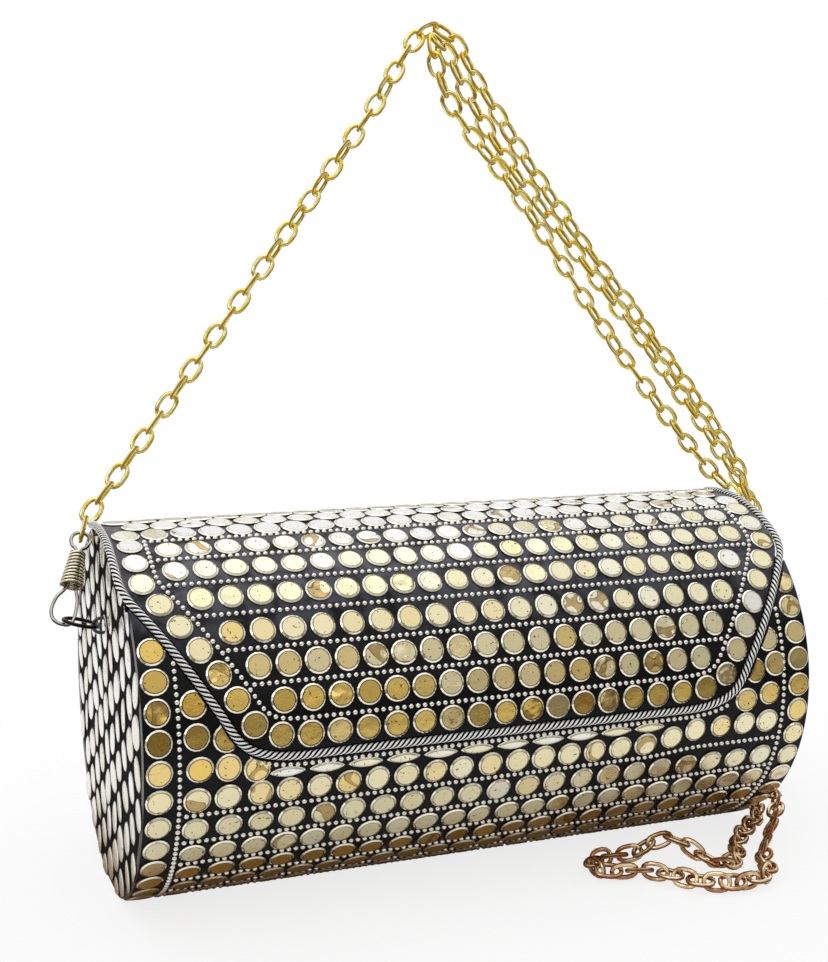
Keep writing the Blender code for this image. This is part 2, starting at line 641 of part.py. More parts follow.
def links_object(name, outlines, section, finish, collection):
    """Every outline as a closed wire of the section, all in one mesh."""
    curve = bpy.data.curves.new(name, "CURVE")
    curve.dimensions = "3D"
    curve.bevel_mode = "OBJECT"
    curve.bevel_object = section
    for outline in outlines:
        spline = curve.splines.new("POLY")
        spline.points.add(len(outline) - 1)
        for point, place in zip(spline.points, outline):
            point.co = (*place, 1)
        spline.use_cyclic_u = True
    guide = bpy.data.objects.new(name + "_curve", curve)
    collection.objects.link(guide)
    return curve_to_mesh(name, guide, finish, collection)


def strap_route():
    """The strap's way: left clasp, hanging point, table, hanging point again, right clasp."""
    left = Vector((-HALF_LENGTH, 0, TOP))
    middle = Vector((0, 0, TOP))
    right = Vector((HALF_LENGTH, 0, TOP))
    table = Vector((HALF_LENGTH, 0, 0))
    stretches = ((left, LEAVE_LEFT), (middle, RISE_LEFT + OVER_THE_HOOK + FALL_FAR), (right, PASS_FAR),
                 (table, DOWN_FAR + FLOOR_IN + FLOOR_DIP + FLOOR_HUMP),
                 (table, FLOOR_FOLD + FLOOR_OUT + FLOOR_OVER + RISE_MIDDLE),
                 (right, PASS_MIDDLE), (middle, TO_THE_HOOK + FOLD_AT_HOOK + FALL_NEAR), (right, REACH_RIGHT))
    route = [strap_end(-1)]
    for anchor, places in stretches:
        route += [anchor + Vector(place) * MM for place in places]
    return route + [strap_end(1)]


def make_strap(parts, guides, finish):
    """The chain strap: real links along the route, every second one turned, fused where they cross."""
    joints = even_points(smooth_route(strap_route()), LINK_PITCH)
    normal = Vector((1, 0, 0))
    outlines = ([], [])
    for i, (start, end) in enumerate(zip(joints, joints[1:])):
        along = (end - start).normalized()
        normal = (normal - along * normal.dot(along)).normalized()
        across = along.cross(normal) if i % 2 == 0 else normal
        outlines[i % 2].append(link_outline(start, end, across))
    section = link_profile(guides)
    strap = links_object("strap_chain", outlines[0], section, finish, parts)
    others = cutter(links_object("strap_other_links", outlines[1], section, finish, guides))
    boolean(strap, others, "UNION")
    return strap


def main():
    for old in list(bpy.data.objects):
        bpy.data.objects.remove(old)
    parts = new_collection("cylinder_clutch_bag")
    guides = new_collection("cutters_and_guides")
    resin = material("black_resin_with_discs", (0.05, 0.045, 0.04), 0.0, 0.2)
    brass = material("pale_brass", (0.80, 0.68, 0.38), 1.0, 0.3)
    silver = material("silvered_wire", (0.75, 0.73, 0.68), 1.0, 0.3)
    blackened = material("blackened_wire", (0.06, 0.06, 0.06), 1.0, 0.4)
    gold = material("bright_gold", (0.90, 0.66, 0.20), 1.0, 0.2)
    fabric = material("black_lining", (0.02, 0.02, 0.022), 0.0, 0.9)
    make_barrel(parts, guides, resin)
    make_flap(parts, guides, resin)
    make_rope(parts, silver)
    make_end_cap("left_end_cap", -1, parts, guides, brass)
    make_end_cap("right_end_cap", 1, parts, guides, brass)
    make_linings(parts, fabric)
    make_catch(parts, guides, resin, silver)
    make_hinge(parts, guides, brass)
    make_end_fittings("left", -1, parts, blackened, silver, gold)
    make_end_fittings("right", 1, parts, blackened, silver, gold)
    make_strap(parts, guides, gold)


main()
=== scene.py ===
"""Looks of the cylinder clutch bag: mosaic of shallow metal discs and beads in black resin, tiled ends,
twisted rope edge, wire clasps and a chain strap. Lengths are in metres; angles round the barrel are in
degrees, 0 at the front, 90 at the top and 180 at the back, as in the part's source.
"""
import json
import math

import bpy
import numpy as np
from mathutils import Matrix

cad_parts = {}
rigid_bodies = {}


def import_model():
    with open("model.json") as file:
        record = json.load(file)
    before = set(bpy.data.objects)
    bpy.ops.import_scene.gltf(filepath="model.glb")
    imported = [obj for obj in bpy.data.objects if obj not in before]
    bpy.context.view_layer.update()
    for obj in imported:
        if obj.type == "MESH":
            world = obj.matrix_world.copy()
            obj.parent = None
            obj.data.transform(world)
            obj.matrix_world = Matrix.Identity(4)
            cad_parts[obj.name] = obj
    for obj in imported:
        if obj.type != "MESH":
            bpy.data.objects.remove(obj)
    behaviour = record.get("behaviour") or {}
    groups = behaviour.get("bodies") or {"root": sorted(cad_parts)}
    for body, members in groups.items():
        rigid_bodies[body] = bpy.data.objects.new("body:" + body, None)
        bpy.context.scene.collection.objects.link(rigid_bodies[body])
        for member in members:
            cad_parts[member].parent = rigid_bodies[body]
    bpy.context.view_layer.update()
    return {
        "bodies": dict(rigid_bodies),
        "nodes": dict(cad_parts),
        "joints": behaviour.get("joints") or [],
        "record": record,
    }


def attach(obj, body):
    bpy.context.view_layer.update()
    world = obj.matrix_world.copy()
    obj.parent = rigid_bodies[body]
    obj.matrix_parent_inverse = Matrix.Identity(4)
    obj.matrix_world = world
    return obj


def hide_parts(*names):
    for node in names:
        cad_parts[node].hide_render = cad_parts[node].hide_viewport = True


MM = 0.001
DEGREE = math.pi / 180
SEED = 7
FINE_STEP = 0.5 * MM           # between the points of a worked-out path
HAIR = 0.01 * MM

# Sizes shared with the part's source
BARREL_LENGTH = 188 * MM
HALF_LENGTH = BARREL_LENGTH / 2
GROUND_RADIUS = 49.3 * MM
AXIS_HEIGHT = 48.4 * MM
WALL = 2.6 * MM
INNER_RADIUS = GROUND_RADIUS - WALL
GAP = 0.3 * MM
ROPE_RADIUS = 1.1 * MM
EDGE = ROPE_RADIUS + GAP
FLAP_FRONT_ANGLE = -3.0
FLAP_FRONT_HALF = 56 * MM
FLAP_CORNER_HALF = 72 * MM
FLAP_CORNER_ANGLE = 5.5
FLAP_RIM_ANGLE = 49.5
ROPE_END_ANGLE = 100.0
RIM_HALF = HALF_LENGTH + EDGE
CORNER_EASE = 9 * MM
OUTLINE_STEP = 2 * MM
HINGE_ANGLE = 106.0
HINGE_EDGE = 1.45 * MM
CAP_THICKNESS = 3 * MM
LINING = 0.7 * MM
BARREL_LINING_ANGLES = (110, 336)
FLAP_LINING_ANGLES = (17, 101)
FLAP_LINING_INSET = 5 * MM

# Mosaic layout
DISC_RADIUS = 3.42 * MM
DISC_SIDES = 18
DISC_LEAN = 2.2
DISC_SIZES = (0.95, 1.03)
DISC_SHIFT = 0.25 * MM
DENTED_SHARE = 0.18
DENT_DEPTHS = (0.55, 1.0)
SMOOTH_DEPTH = 0.12
PACKED_SIZE = 1.06             # share of the usual disc, in the rows by the hinge
DISC_PITCH = 7.6 * MM
WIDER_PITCH = 1.045            # share of the usual pitch, in every second row of the barrel
BEAD_RADIUS = 0.80 * MM
BEAD_SIDES = 7
BEAD_PITCH = 1.86 * MM
BORDER_INSET = 5.3 * MM        # from the rope to the middle of the flap's border discs
BEAD_INSET = 9.3 * MM
ROW_INSET = 14.6 * MM
FLAP_ROW_ANGLES = (13.4, 23.7, 34.0, 45.6, 56.4, 66.4)
FLAP_BEAD_ANGLES = (18.5, 28.8, 39.8, 51.0, 61.6)
FLAP_TOP_BEADS = 71.8
BORDER_TOP = 69.7
PACKED_ROW_ANGLES = (76.6, 84.6, 92.6, 100.2)
BODY_ROW_START = -13.0
BODY_ROW_STEP = -9.8
BODY_ROWS = 25
FIRST_ROW_RISE = 3.2           # degrees that the barrel's first row climbs at its right end
RISE_START = 42 * MM
RISE_LENGTH = 18 * MM
BODY_BEAD_HALF = 85.4 * MM
BODY_BEAD_TOP = 26.5
BODY_BEAD_END = HINGE_ANGLE - 358
BODY_BORDER_HALF = 90.3 * MM
BODY_BORDER_STEP = 8.5
BODY_BORDER_TOPS = ((-1, 30.3), (1, 35.4))
BODY_BORDER_END = HINGE_ANGLE - 354
BELOW_ROPE = 0.75 * MM         # from the flap's gap to the beads under the rope
# Discs beside the flap's slanted edges, as x in millimetres and angle
LEFT_WEDGE = ((-80.4, -3.7), (-73.3, -4.1), (-81.3, 5.6), (-74.0, 4.4), (-81.6, 14.6), (-66.6, -5.4))
RIGHT_WEDGE = ((73.2, -1.8), (80.9, -0.4), (76.0, 7.4), (82.8, 9.0), (80.9, 17.0))
LENS_ANGLE = -7.4
LENS_PITCH = 10.0 * MM
LENS_ENDS = (-58.5 * MM, 43.0 * MM)
LENS_SIDES = 14
LENS_SIZE = (4.7 * MM, 1.35 * MM)

# Tone of the discs from 0, pale, to 1, deep gold, as angle and tone. It is a painted reflection: pale in the
# rows that face the light overhead, deeper in the rows that mirror the dim room and the shaded table under
# the barrel
FLAP_PAINTED_REFLECTIONS = ((3, 0.97), (13, 0.80), (24, 0.58), (34, 0.51), (46, 0.46), (57, 0.38), (66, 0.24), (78, 0.08))
BODY_PAINTED_REFLECTIONS = ((-250, 0.3), (-120, 0.6), (-60, 0.85), (-43, 0.95), (-36, 0.54), (-23, 0.48), (-14, 0.56),
              (0, 0.97), (30, 0.95))
DEEPER_LEFT = ((0, 0), (14, 0.25), (36, 0.25), (48, 0))

# Domed shapes from the middle outwards, as share of the rim and height; the last ring lies in the resin
DISC_DOME = ((0, 0.58), (0.87, 0.58), (1.0, 0.26), (1.0, -0.15))
LENS_DOME = ((0, 0.55), (0.55, 0.5), (0.9, 0.38), (1.0, 0.2), (1.0, -0.15))
TILE_DOME = ((0, 0.50), (0.6, 0.47), (0.9, 0.34), (1.0, 0.12), (1.0, -0.10))
BEAD_DOME = ((0, 0.98), (0.62, 0.76), (1.0, 0.05), (0.9, -0.25))
PLATE_DOME = ((0, 0), (1.0, 0), (1.0, -1))

# Rope and cap tiles
STRAND_LENGTH = 1.45 * MM      # of the rope between two grooves
STRAND_RADIUS = 1.05 * MM
GROOVE_SHARE = 0.30
TILE_ACROSS = 8.4 * MM
TILE_UP = 10.6 * MM
TILE_SIDES = 14
TILE_FILL = (0.47, 0.485)      # half of a tile's width and height, as shares of their pitch
TILE_SHIFT = 0.55 * MM
TILE_TURN = 8
TILE_LEAN = 3.0
TILE_WIDTHS = (0.78, 1.02)
TILE_HEIGHTS = (0.86, 1.04)
TILE_MARGIN = 0.8 * MM
UNDER_FLAP_ANGLE = 44          # where the end's tiles begin to pass under the flap


def on_barrel(x, angle, radius):
    """Points at x, an angle round the barrel and a distance from its axis, as an array (..., 3)."""
    x, angle, radius = np.broadcast_arrays(np.asarray(x, float), np.asarray(angle, float), radius)
    turn = angle * DEGREE
    return np.stack((x, -radius * np.cos(turn), AXIS_HEIGHT + radius * np.sin(turn)), axis=-1)


def barrel_frames(angle):
    """Axes of a piece set in the barrel's surface: along it, up round it, outwards; shape (n, 3, 3)."""
    turn = np.asarray(angle, float) * DEGREE
    zero = np.zeros_like(turn)
    along = np.stack((zero + 1, zero, zero), axis=-1)
    upward = np.stack((zero, np.sin(turn), np.cos(turn)), axis=-1)
    outward = np.stack((zero, -np.cos(turn), np.sin(turn)), axis=-1)
    return np.stack((along, upward, outward), axis=1)


def unit(vectors):
    return vectors / np.linalg.norm(vectors, axis=-1, keepdims=True)


def by_angle(pairs, angle):
    """The value at an angle, in between the pairs of angle and value."""
    return np.interp(angle, *zip(*pairs))


# Mesh helpers

def sheet_faces(rows, columns, wrap_rows=False, wrap_columns=False):
    """Quads between neighbours on a grid of rows x columns points, closed where a direction wraps."""
    i = np.arange(rows if wrap_rows else rows - 1)
    j = np.arange(columns if wrap_columns else columns - 1)
    i, j = np.meshgrid(i, j, indexing="ij")
    next_i = (i + 1) % rows
    next_j = (j + 1) % columns
    corners = (i * columns + j, next_i * columns + j, next_i * columns + next_j, i * columns + next_j)
    return np.stack(corners, axis=-1).reshape(-1, 4)


def piece(name, points, faces, body, material, smooth=True, marks=None, replaces=()):
    """A mesh object from arrays. faces is a list of index arrays; marks are numbers at each point."""
    mesh = bpy.data.meshes.new(name)
    lists = []
    for block_faces in faces:
        lists.extend(np.asarray(block_faces).tolist())
    mesh.from_pydata(np.asarray(points).reshape(-1, 3).tolist(), [], lists)
    mesh.polygons.foreach_set("use_smooth", np.full(len(mesh.polygons), smooth))
    for mark, values in (marks or {}).items():
        layer = mesh.attributes.new(mark, "FLOAT", "POINT")
        layer.data.foreach_set("value", np.asarray(values, np.float32).ravel())
    mesh.materials.append(material)
    mesh.update()
    made = bpy.data.objects.new(name, mesh)
    bpy.context.scene.collection.objects.link(made)
    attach(made, body)
    if replaces:
        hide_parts(*replaces)
    return made


def joined(parts):
    """One set of points and faces from several (points, faces) pairs."""
    points = []
    faces = []
    start = 0
    for part_points, part_faces in parts:
        points.append(part_points)
        faces.extend(np.asarray(one) + start for one in part_faces)
        start += len(part_points)
    return np.concatenate(points), faces


def stamp(profile, faces, centres, frames, scales=None):
    """Copies of one small shape: point = centre + scaled profile point turned into the copy's own axes."""
    profile = np.asarray(profile)
    scaled = np.broadcast_to(profile, (len(centres), *profile.shape))
    if scales is not None:
        scaled = scaled * scales[:, None, :]
    placed = centres[:, None, :] + np.einsum("nki,nij->nkj", scaled, frames)
    shift = (np.arange(len(centres)) * len(profile))[:, None, None]
    blocks = [(one[None] + shift).reshape(-1, one.shape[1]) for one in faces]
    return placed.reshape(-1, 3), blocks


def domed(rim, dome, height):
    """A closed low dome: a middle point, then rings of the rim's shape. Also each point's rim share."""
    sides = len(rim)
    points = [np.array([[0, 0, dome[0][1] * height]])]
    for share, level in dome[1:]:
        points.append(np.column_stack((rim * share, np.full(sides, level * height))))
    first = np.arange(sides)
    fan = np.column_stack((np.zeros(sides, int), 1 + first, 1 + (first + 1) % sides))
    around = sheet_faces(len(dome) - 1, sides, wrap_columns=True) + 1
    bottom = (1 + (len(dome) - 2) * sides + first[::-1])[None]
    shares = np.concatenate(([0], np.repeat([share for share, level in dome[1:]], sides)))
    return np.concatenate(points), [fan, around, bottom], shares


def scatter(name, shape, centres, frames, body, material, scales=None, marks=None, fit=None,
            smooth=True):
    """Copies of a domed shape as one piece, fitted and kept above the table; marks are one for each copy."""
    profile, faces, shares = shape
    points, blocks = stamp(profile, faces, centres, frames, scales)
    if fit:
        fit(points)
    points[:, 2] = np.maximum(points[:, 2], 0)
    spread = {mark: np.repeat(values, len(profile)) for mark, values in (marks or {}).items()}
    spread["radial"] = np.tile(shares, len(centres))
    piece(name, points, blocks, body, material, smooth=smooth, marks=spread)


def circle(sides):
    turn = np.arange(sides) * 2 * math.pi / sides
    return np.column_stack((np.cos(turn), np.sin(turn)))


def tube(points, radius, sides, reference, closed=False):
    """A round wire: each section is a circle square to the path, turned from the reference direction R.
    Section point = path point + radius (cos u N + sin u B), with T along the path, B = T x R, N = B x T.
    """
    if closed:
        along = np.roll(points, -1, axis=0) - np.roll(points, 1, axis=0)
    else:
        along = np.gradient(points, axis=0)
    tangent = unit(along)
    side = unit(np.cross(tangent, np.broadcast_to(reference, points.shape)))
    normal = np.cross(side, tangent)
    ring = circle(sides)
    offset = ring[None, :, 0, None] * normal[:, None] + ring[None, :, 1, None] * side[:, None]
    surface = points[:, None] + offset * np.broadcast_to(radius, (len(points), sides))[..., None]
    faces = [sheet_faces(len(points), sides, wrap_rows=closed, wrap_columns=True)]
    if not closed:
        first = np.arange(sides)
        faces += [(first + (len(points) - 1) * sides)[None, ::-1], first[None]]
    return surface.reshape(-1, 3), faces


def smooth_path(points, step, closed=False):
    """Evenly spaced points, step apart, on a Catmull-Rom curve through the given ones."""
    points = np.asarray(points, float)
    if closed:
        padded = np.concatenate((points[-1:], points, points[:2]))
    else:
        padded = np.concatenate((2 * points[:1] - points[1:2], points, 2 * points[-1:] - points[-2:-1]))
    a, b, c, d = (padded[i:len(padded) - 3 + i, None] for i in range(4))
    t = np.linspace(0, 1, 24, endpoint=False)[None, :, None]
    square = (2 * a - 5 * b + 4 * c - d) * t ** 2
    cube = (3 * b - a - 3 * c + d) * t ** 3
    curve = (0.5 * (2 * b + (c - a) * t + square + cube)).reshape(-1, points.shape[1])
    curve = np.concatenate((curve, points[:1] if closed else points[-1:]))
    return even_path(curve, step, closed)


def lengths_along(curve):
    """The way to each point of a curve from its start."""
    return np.concatenate(([0], np.cumsum(np.linalg.norm(np.diff(curve, axis=0), axis=1))))


def points_at(wanted, measures, curve):
    """The curve's points where its measure reaches the wanted values."""
    return np.column_stack([np.interp(wanted, measures, column) for column in curve.T])


def even_path(curve, step, closed=False):
    lengths = lengths_along(curve)
    count = max(2, round(lengths[-1] / step))
    wanted = np.linspace(0, lengths[-1], count + 1)
    return points_at(wanted[:-1] if closed else wanted, lengths, curve)


def block(angles, low, high, columns, inner, outer):
    """A curved wall closed at its edges: x = low + (high - low) u at each angle, outside and inside."""
    rows = len(angles)
    low, high = (np.broadcast_to(end, rows)[:, None] for end in (low, high))
    x = low + (high - low) * np.linspace(0, 1, columns)
    grids = [on_barrel(x, angles[:, None], radius).reshape(-1, 3) for radius in (outer, inner)]
    count = rows * columns
    outer_faces = sheet_faces(rows, columns)[:, ::-1]
    inner_faces = outer_faces[:, ::-1] + count
    index = np.arange(count).reshape(rows, columns)
    border = np.concatenate((index[0, :], index[1:, -1], index[-1, -2::-1], index[-2:0:-1, 0]))
    after = np.roll(border, -1)
    edge = np.column_stack((border, border + count, after + count, after))[:, ::-1]
    return np.concatenate(grids), [outer_faces, inner_faces, edge]


# Outline of the flap

def rope_half_width(angle):
    """Half the width between the rope's sides: a quarter ellipse at the corner, a slant, then the rim."""
    angle = np.asarray(angle, float)
    across = (FLAP_CORNER_ANGLE - angle) / (FLAP_CORNER_ANGLE - FLAP_FRONT_ANGLE)
    corner = FLAP_FRONT_HALF + (FLAP_CORNER_HALF - FLAP_FRONT_HALF) * np.sqrt(np.clip(1 - across ** 2, 0, 1))
    along = np.clip((angle - FLAP_CORNER_ANGLE) / (FLAP_RIM_ANGLE - FLAP_CORNER_ANGLE), 0, 1)
    slant = FLAP_CORNER_HALF + (RIM_HALF - FLAP_CORNER_HALF) * along
    return np.where(angle < FLAP_CORNER_ANGLE, corner, slant)


def outline(end):
    """The rope's middle up the right side, as columns of half width and angle."""
    turn = np.linspace(0, math.pi / 2, 12)
    corner = FLAP_CORNER_ANGLE - (FLAP_CORNER_ANGLE - FLAP_FRONT_ANGLE) * np.cos(turn)
    slant = np.linspace(FLAP_CORNER_ANGLE, FLAP_RIM_ANGLE, 14)[1:]
    rim = np.linspace(FLAP_RIM_ANGLE, end, 16)[1:]
    angles = np.concatenate((corner, slant, rim))
    sharp = np.column_stack((rope_half_width(angles), angles))
    return from_flat(eased(to_flat(sharp), CORNER_EASE, OUTLINE_STEP))


def eased(flat, reach, step):
    """A flat path with its corners rounded: each point is the mean of the path for reach around it."""
    path = even_path(flat, FINE_STEP)
    half = round(reach / FINE_STEP / 2)
    padded = np.pad(path, ((half, half), (0, 0)), mode="reflect", reflect_type="odd")
    kernel = np.full(2 * half + 1, 1 / (2 * half + 1))
    mean = np.column_stack([np.convolve(column, kernel, mode="valid") for column in padded.T])
    return even_path(mean, step)


def to_flat(points):
    """Half width and angle to a flat drawing of the surface, in metres."""
    return points * (1, DEGREE * GROUND_RADIUS)


def from_flat(points):
    return points / (1, DEGREE * GROUND_RADIUS)


def moved_outline(offset, end):
    """The outline moved outwards over the surface by offset; the first point moves straight down."""
    flat = to_flat(outline(end))
    along = unit(np.gradient(flat, axis=0))
    along[0] = (1, 0)
    normal = np.column_stack((along[:, 1], -along[:, 0]))
    return from_flat(flat + normal * offset)


def flap_line(inset, end):
    """A line round the flap inside its rope, from the left side's top to the right side's, in (x, angle)."""
    right = to_flat(moved_outline(-inset, end))
    rope = to_flat(outline(end + inset / GROUND_RADIUS / DEGREE))
    apart = np.linalg.norm(right[:, None] - even_path(rope, FINE_STEP)[None], axis=2).min(axis=1)
    right = right[apart > inset - GAP]
    line = np.concatenate((right[::-1] * (-1, 1), right))
    return from_flat(eased(line, max(0.6 * inset, MM), FINE_STEP))


def flap_beaded(inset, end, pitch):
    """Even places on a line round the flap, in (x, angle)."""
    return from_flat(even_path(to_flat(flap_line(inset, end)), pitch))


# Materials

class Maths:
    """A socket whose sums, products and comparisons add Math nodes to its tree."""

    def __init__(self, nodes, socket):
        self.nodes = nodes
        self.socket = socket

    def node(self, operation, *values):
        made = self.nodes.add("ShaderNodeMath", {"operation": operation}, list(values))
        return Maths(self.nodes, made.outputs[0])

    def __add__(self, other):
        return self.node("ADD", self, other)

    def __radd__(self, other):
        return self.node("ADD", other, self)

    def __sub__(self, other):
        return self.node("SUBTRACT", self, other)

    def __rsub__(self, other):
        return self.node("SUBTRACT", other, self)

    def __mul__(self, other):
        return self.node("MULTIPLY", self, other)

    def __rmul__(self, other):
        return self.node("MULTIPLY", other, self)

    def above(self, limit):
        return self.node("GREATER_THAN", self, limit)

    def most(self, other):
        """The larger of the two."""
        return self.node("MAXIMUM", self, other)

    def wave(self):
        return self.node("SINE", self)

    def size(self):
        """Without its sign."""
        return self.node("ABSOLUTE", self)

    def step(self, low, high):
        """Rises smoothly from 0 at low to 1 at high."""
        made = self.nodes.add("ShaderNodeMapRange", {"interpolation_type": "SMOOTHSTEP"},
                              {"Value": self, "From Min": low, "From Max": high})
        return Maths(self.nodes, made.outputs[0])


class Nodes:
    """The node tree of a material or a world, built from plain calls."""

    def __init__(self, owner):
        owner.use_nodes = True
        self.tree = owner.node_tree

    def add(self, kind, settings=None, inputs=None):
        """A node of the kind: settings first, then the values or links of its sockets."""
        made = self.tree.nodes.new(kind)
        for name, value in (settings or {}).items():
            setattr(made, name, value)
        pairs = enumerate(inputs) if isinstance(inputs, list) else (inputs or {}).items()
        for key, value in pairs:
            self.join(made.inputs[key], value)
        return made

    def join(self, socket, value):
        if isinstance(value, Maths):
            value = value.socket
        if isinstance(value, bpy.types.NodeSocket):
            self.tree.links.new(value, socket)
        else:
            socket.default_value = value

    def parts(self, vector):
        """The three numbers of a vector."""
        made = self.add("ShaderNodeSeparateXYZ", None, [vector])
        return [Maths(self, made.outputs[axis]) for axis in range(3)]

    def mix(self, share, first, second):
        """A colour between two colours."""
        made = self.add("ShaderNodeMix", {"data_type": "RGBA"}, {"Factor": share, "A": first, "B": second})
        return made.outputs["Result"]


class Shader(Nodes):
    """One material."""

    def __init__(self, name):
        self.material = bpy.data.materials.new(name)
        super().__init__(self.material)
        self.surface = self.tree.nodes["Principled BSDF"]

    def mark(self, name):
        return Maths(self, self.add("ShaderNodeAttribute", {"attribute_name": name}).outputs["Fac"])

    def place(self):
        return self.add("ShaderNodeTexCoord").outputs["Object"]

    def height(self):
        return self.parts(self.place())[2]

    def noise(self, scale, detail=2.0, roughness=0.5):
        made = self.add("ShaderNodeTexNoise", None, {"Vector": self.place(), "Scale": scale, "Detail": detail,
                                                     "Roughness": roughness})
        return Maths(self, made.outputs["Fac"])

    def bump(self, height, distance, strength):
        made = self.add("ShaderNodeBump", None,
                        {"Height": height, "Distance": distance, "Strength": strength})
        self.join(self.surface.inputs["Normal"], made.outputs["Normal"])

    def set(self, **values):
        names = {"colour": "Base Color", "roughness": "Roughness", "metallic": "Metallic",
                 "specular": "Specular IOR Level", "sheen": "Sheen Weight"}
        for key, value in values.items():
            self.join(self.surface.inputs[names[key]], value)
        return self.material


def tone(red, green, blue):
    return (red, green, blue, 1.0)


def disc_metal():
    """Polished brass discs: each has its own tone and dents, a bright rim and a dark line inside it. The tone
    mark carries a painted reflection, the bright rim is a painted highlight, and the dark line and the dark
    foot are painted shade.
    """
    shader = Shader("pale_gold_discs")
    shade = shader.mark("shade")
    dent = shader.mark("dent")
    radial = shader.mark("radial")
    # The shade mark is mostly painted reflection: pale where discs face the light overhead, deep gold, and
    # brown above 1, where they mirror the dim room and the shaded table
    pale_to_yellow = shader.mix(shade.step(0.0, 0.5), tone(0.95, 0.95, 0.90), tone(0.92, 0.84, 0.54))
    to_deep_gold = shader.mix(shade.step(0.5, 1.0), pale_to_yellow, tone(0.88, 0.62, 0.16))
    gold = shader.mix(shade.step(1.0, 1.3), to_deep_gold, tone(0.47, 0.27, 0.05))
    # Painted highlight: the rim's bevel is pale cream on every disc
    rim = radial.step(0.865, 0.875)
    inside = 1 - rim
    # Painted shade: a dark line just inside the rim, darker in the rows of deeper tone
    painted_groove_shade = radial.step(0.785, 0.81) * inside * (shade * 0.6 + 0.4)
    # Painted contact shade: the disc's side, where it goes into the resin, turns black
    below = radial.step(0.992, 1.0)
    # Painted reflection and shade in the dents: brown folds and dark creases on the dented discs
    patch = shader.noise(150, 1.0, 0.35)
    bent = dent.above(0.5)
    painted_fold_reflection = patch.step(0.530, 0.540) * (1 - patch.step(0.620, 0.630)) * bent
    painted_crease_shade = patch.step(0.520, 0.530) * (1 - patch.step(0.532, 0.545)) * bent
    pits = shader.noise(1150, 2.0, 0.5).step(0.665, 0.69) * inside
    dark = (painted_groove_shade * 0.95).most(painted_crease_shade * inside * 0.85).most(pits * 0.85).most(below * 0.95)
    colour = shader.mix(rim, gold, tone(0.97, 0.93, 0.78))
    colour = shader.mix(painted_fold_reflection * inside * 0.85, colour, tone(0.46, 0.30, 0.10))
    colour = shader.mix(dark, colour, tone(0.055, 0.030, 0.010))
    wrinkle = shader.noise(330, 1.0, 0.4) * dent * inside
    grain = shader.noise(1900, 2.0, 0.5)
    shader.bump(wrinkle * 0.9 + grain * 0.03, 0.0008, 0.7)
    return shader.set(colour=colour, metallic=1.0, roughness=grain * 0.14 + 0.12 + dark * 0.3)


def bead_metal():
    """Silvered beads with painted shade: black where they meet the resin."""
    shader = Shader("silvered_beads")
    # Painted contact shade round each bead's foot
    painted_contact_shade = shader.mark("radial").step(0.90, 1.02)
    colour = shader.mix(painted_contact_shade, tone(0.93, 0.91, 0.85), tone(0.012, 0.012, 0.012))
    return shader.set(colour=colour, metallic=1.0, roughness=0.16 + shader.noise(900) * 0.10)


def rope_metal():
    """Bright twisted rope with painted shade: black in the grooves between its strands."""
    shader = Shader("silver_rope")
    # Painted shade in the grooves between the strands
    painted_gap_shade = shader.mark("painted_groove_shade").step(0.22, 0.42)
    colour = shader.mix(painted_gap_shade, tone(0.97, 0.96, 0.92), tone(0.004, 0.004, 0.004))
    return shader.set(colour=colour, metallic=0.4 - painted_gap_shade * 0.4, roughness=0.24 + painted_gap_shade * 0.5, specular=0.1)


def black_resin():
    """Glossy black resin, finely scratched, with a painted sheen: greyer in patches on top, where it faces
    the light.
    """
    shader = Shader("glossy_black_resin")
    wave = shader.noise(160, 3.0, 0.55)
    dust = shader.noise(2600, 2.0, 0.6)
    # Painted sheen: bluish grey patches high on the barrel, where the light overhead is mirrored
    painted_top_sheen = shader.height().step(0.066, 0.092) * wave.step(0.30, 0.65)
    ground = shader.mix(painted_top_sheen * 0.8, tone(0.004, 0.004, 0.004), tone(0.155, 0.160, 0.190))
    colour = shader.mix(dust.step(0.60, 0.85) * 0.35, ground, tone(0.030, 0.030, 0.034))
    shader.bump(wave * 0.7 + dust * 0.06, 0.0005, 0.6)
    return shader.set(colour=colour, roughness=0.18 + dust * 0.14, specular=0.14)


def matt_black():
    """The dull black ground between the tiles of the ends."""
    shader = Shader("dull_black_ground")
    dust = shader.noise(2200, 2.0, 0.6)
    colour = shader.mix(dust.step(0.5, 0.8), tone(0.004, 0.004, 0.004), tone(0.020, 0.019, 0.018))
    return shader.set(colour=colour, roughness=0.85, specular=0.05)


def tile_metal():
    """Pale metal tiles of the ends, black at their edges."""
    shader = Shader("pale_end_tiles")
    pale = shader.mix(shader.mark("shade") * 0.7, tone(0.97, 0.96, 0.91), tone(0.84, 0.78, 0.62))
    rim = shader.mark("radial").step(0.93, 1.0)
    stain = shader.noise(380, 3.0, 0.6).step(0.64, 0.70) * 0.5
    dark = (rim * 0.95).most(stain)
    colour = shader.mix(dark, pale, tone(0.05, 0.035, 0.02))
    grain = shader.noise(1700, 2.0, 0.5)
    shader.bump(shader.noise(300, 1.0, 0.4) * 0.5 + grain * 0.04, 0.0006, 0.6)
    return shader.set(colour=colour, metallic=1.0, roughness=0.20 + grain * 0.14 + dark * 0.3)


def plated_wire(name, colour, worn_and_side_shade, roughness):
    """Polished plated wire, darker and duller in patches and on its sides; the patches are wear, the darker
    sides are painted shade.
    """
    shader = Shader(name)
    patch = shader.noise(260, 3.0, 0.55)
    blend = shader.mix(patch.step(0.45, 0.75) * 0.5, colour, worn_and_side_shade)
    # Painted shade: the wire darkens towards the sides of its section
    blend = shader.mix(shader.mark("side").step(0.45, 0.80), blend, worn_and_side_shade)
    return shader.set(colour=blend, metallic=1.0, roughness=roughness + patch * 0.14)


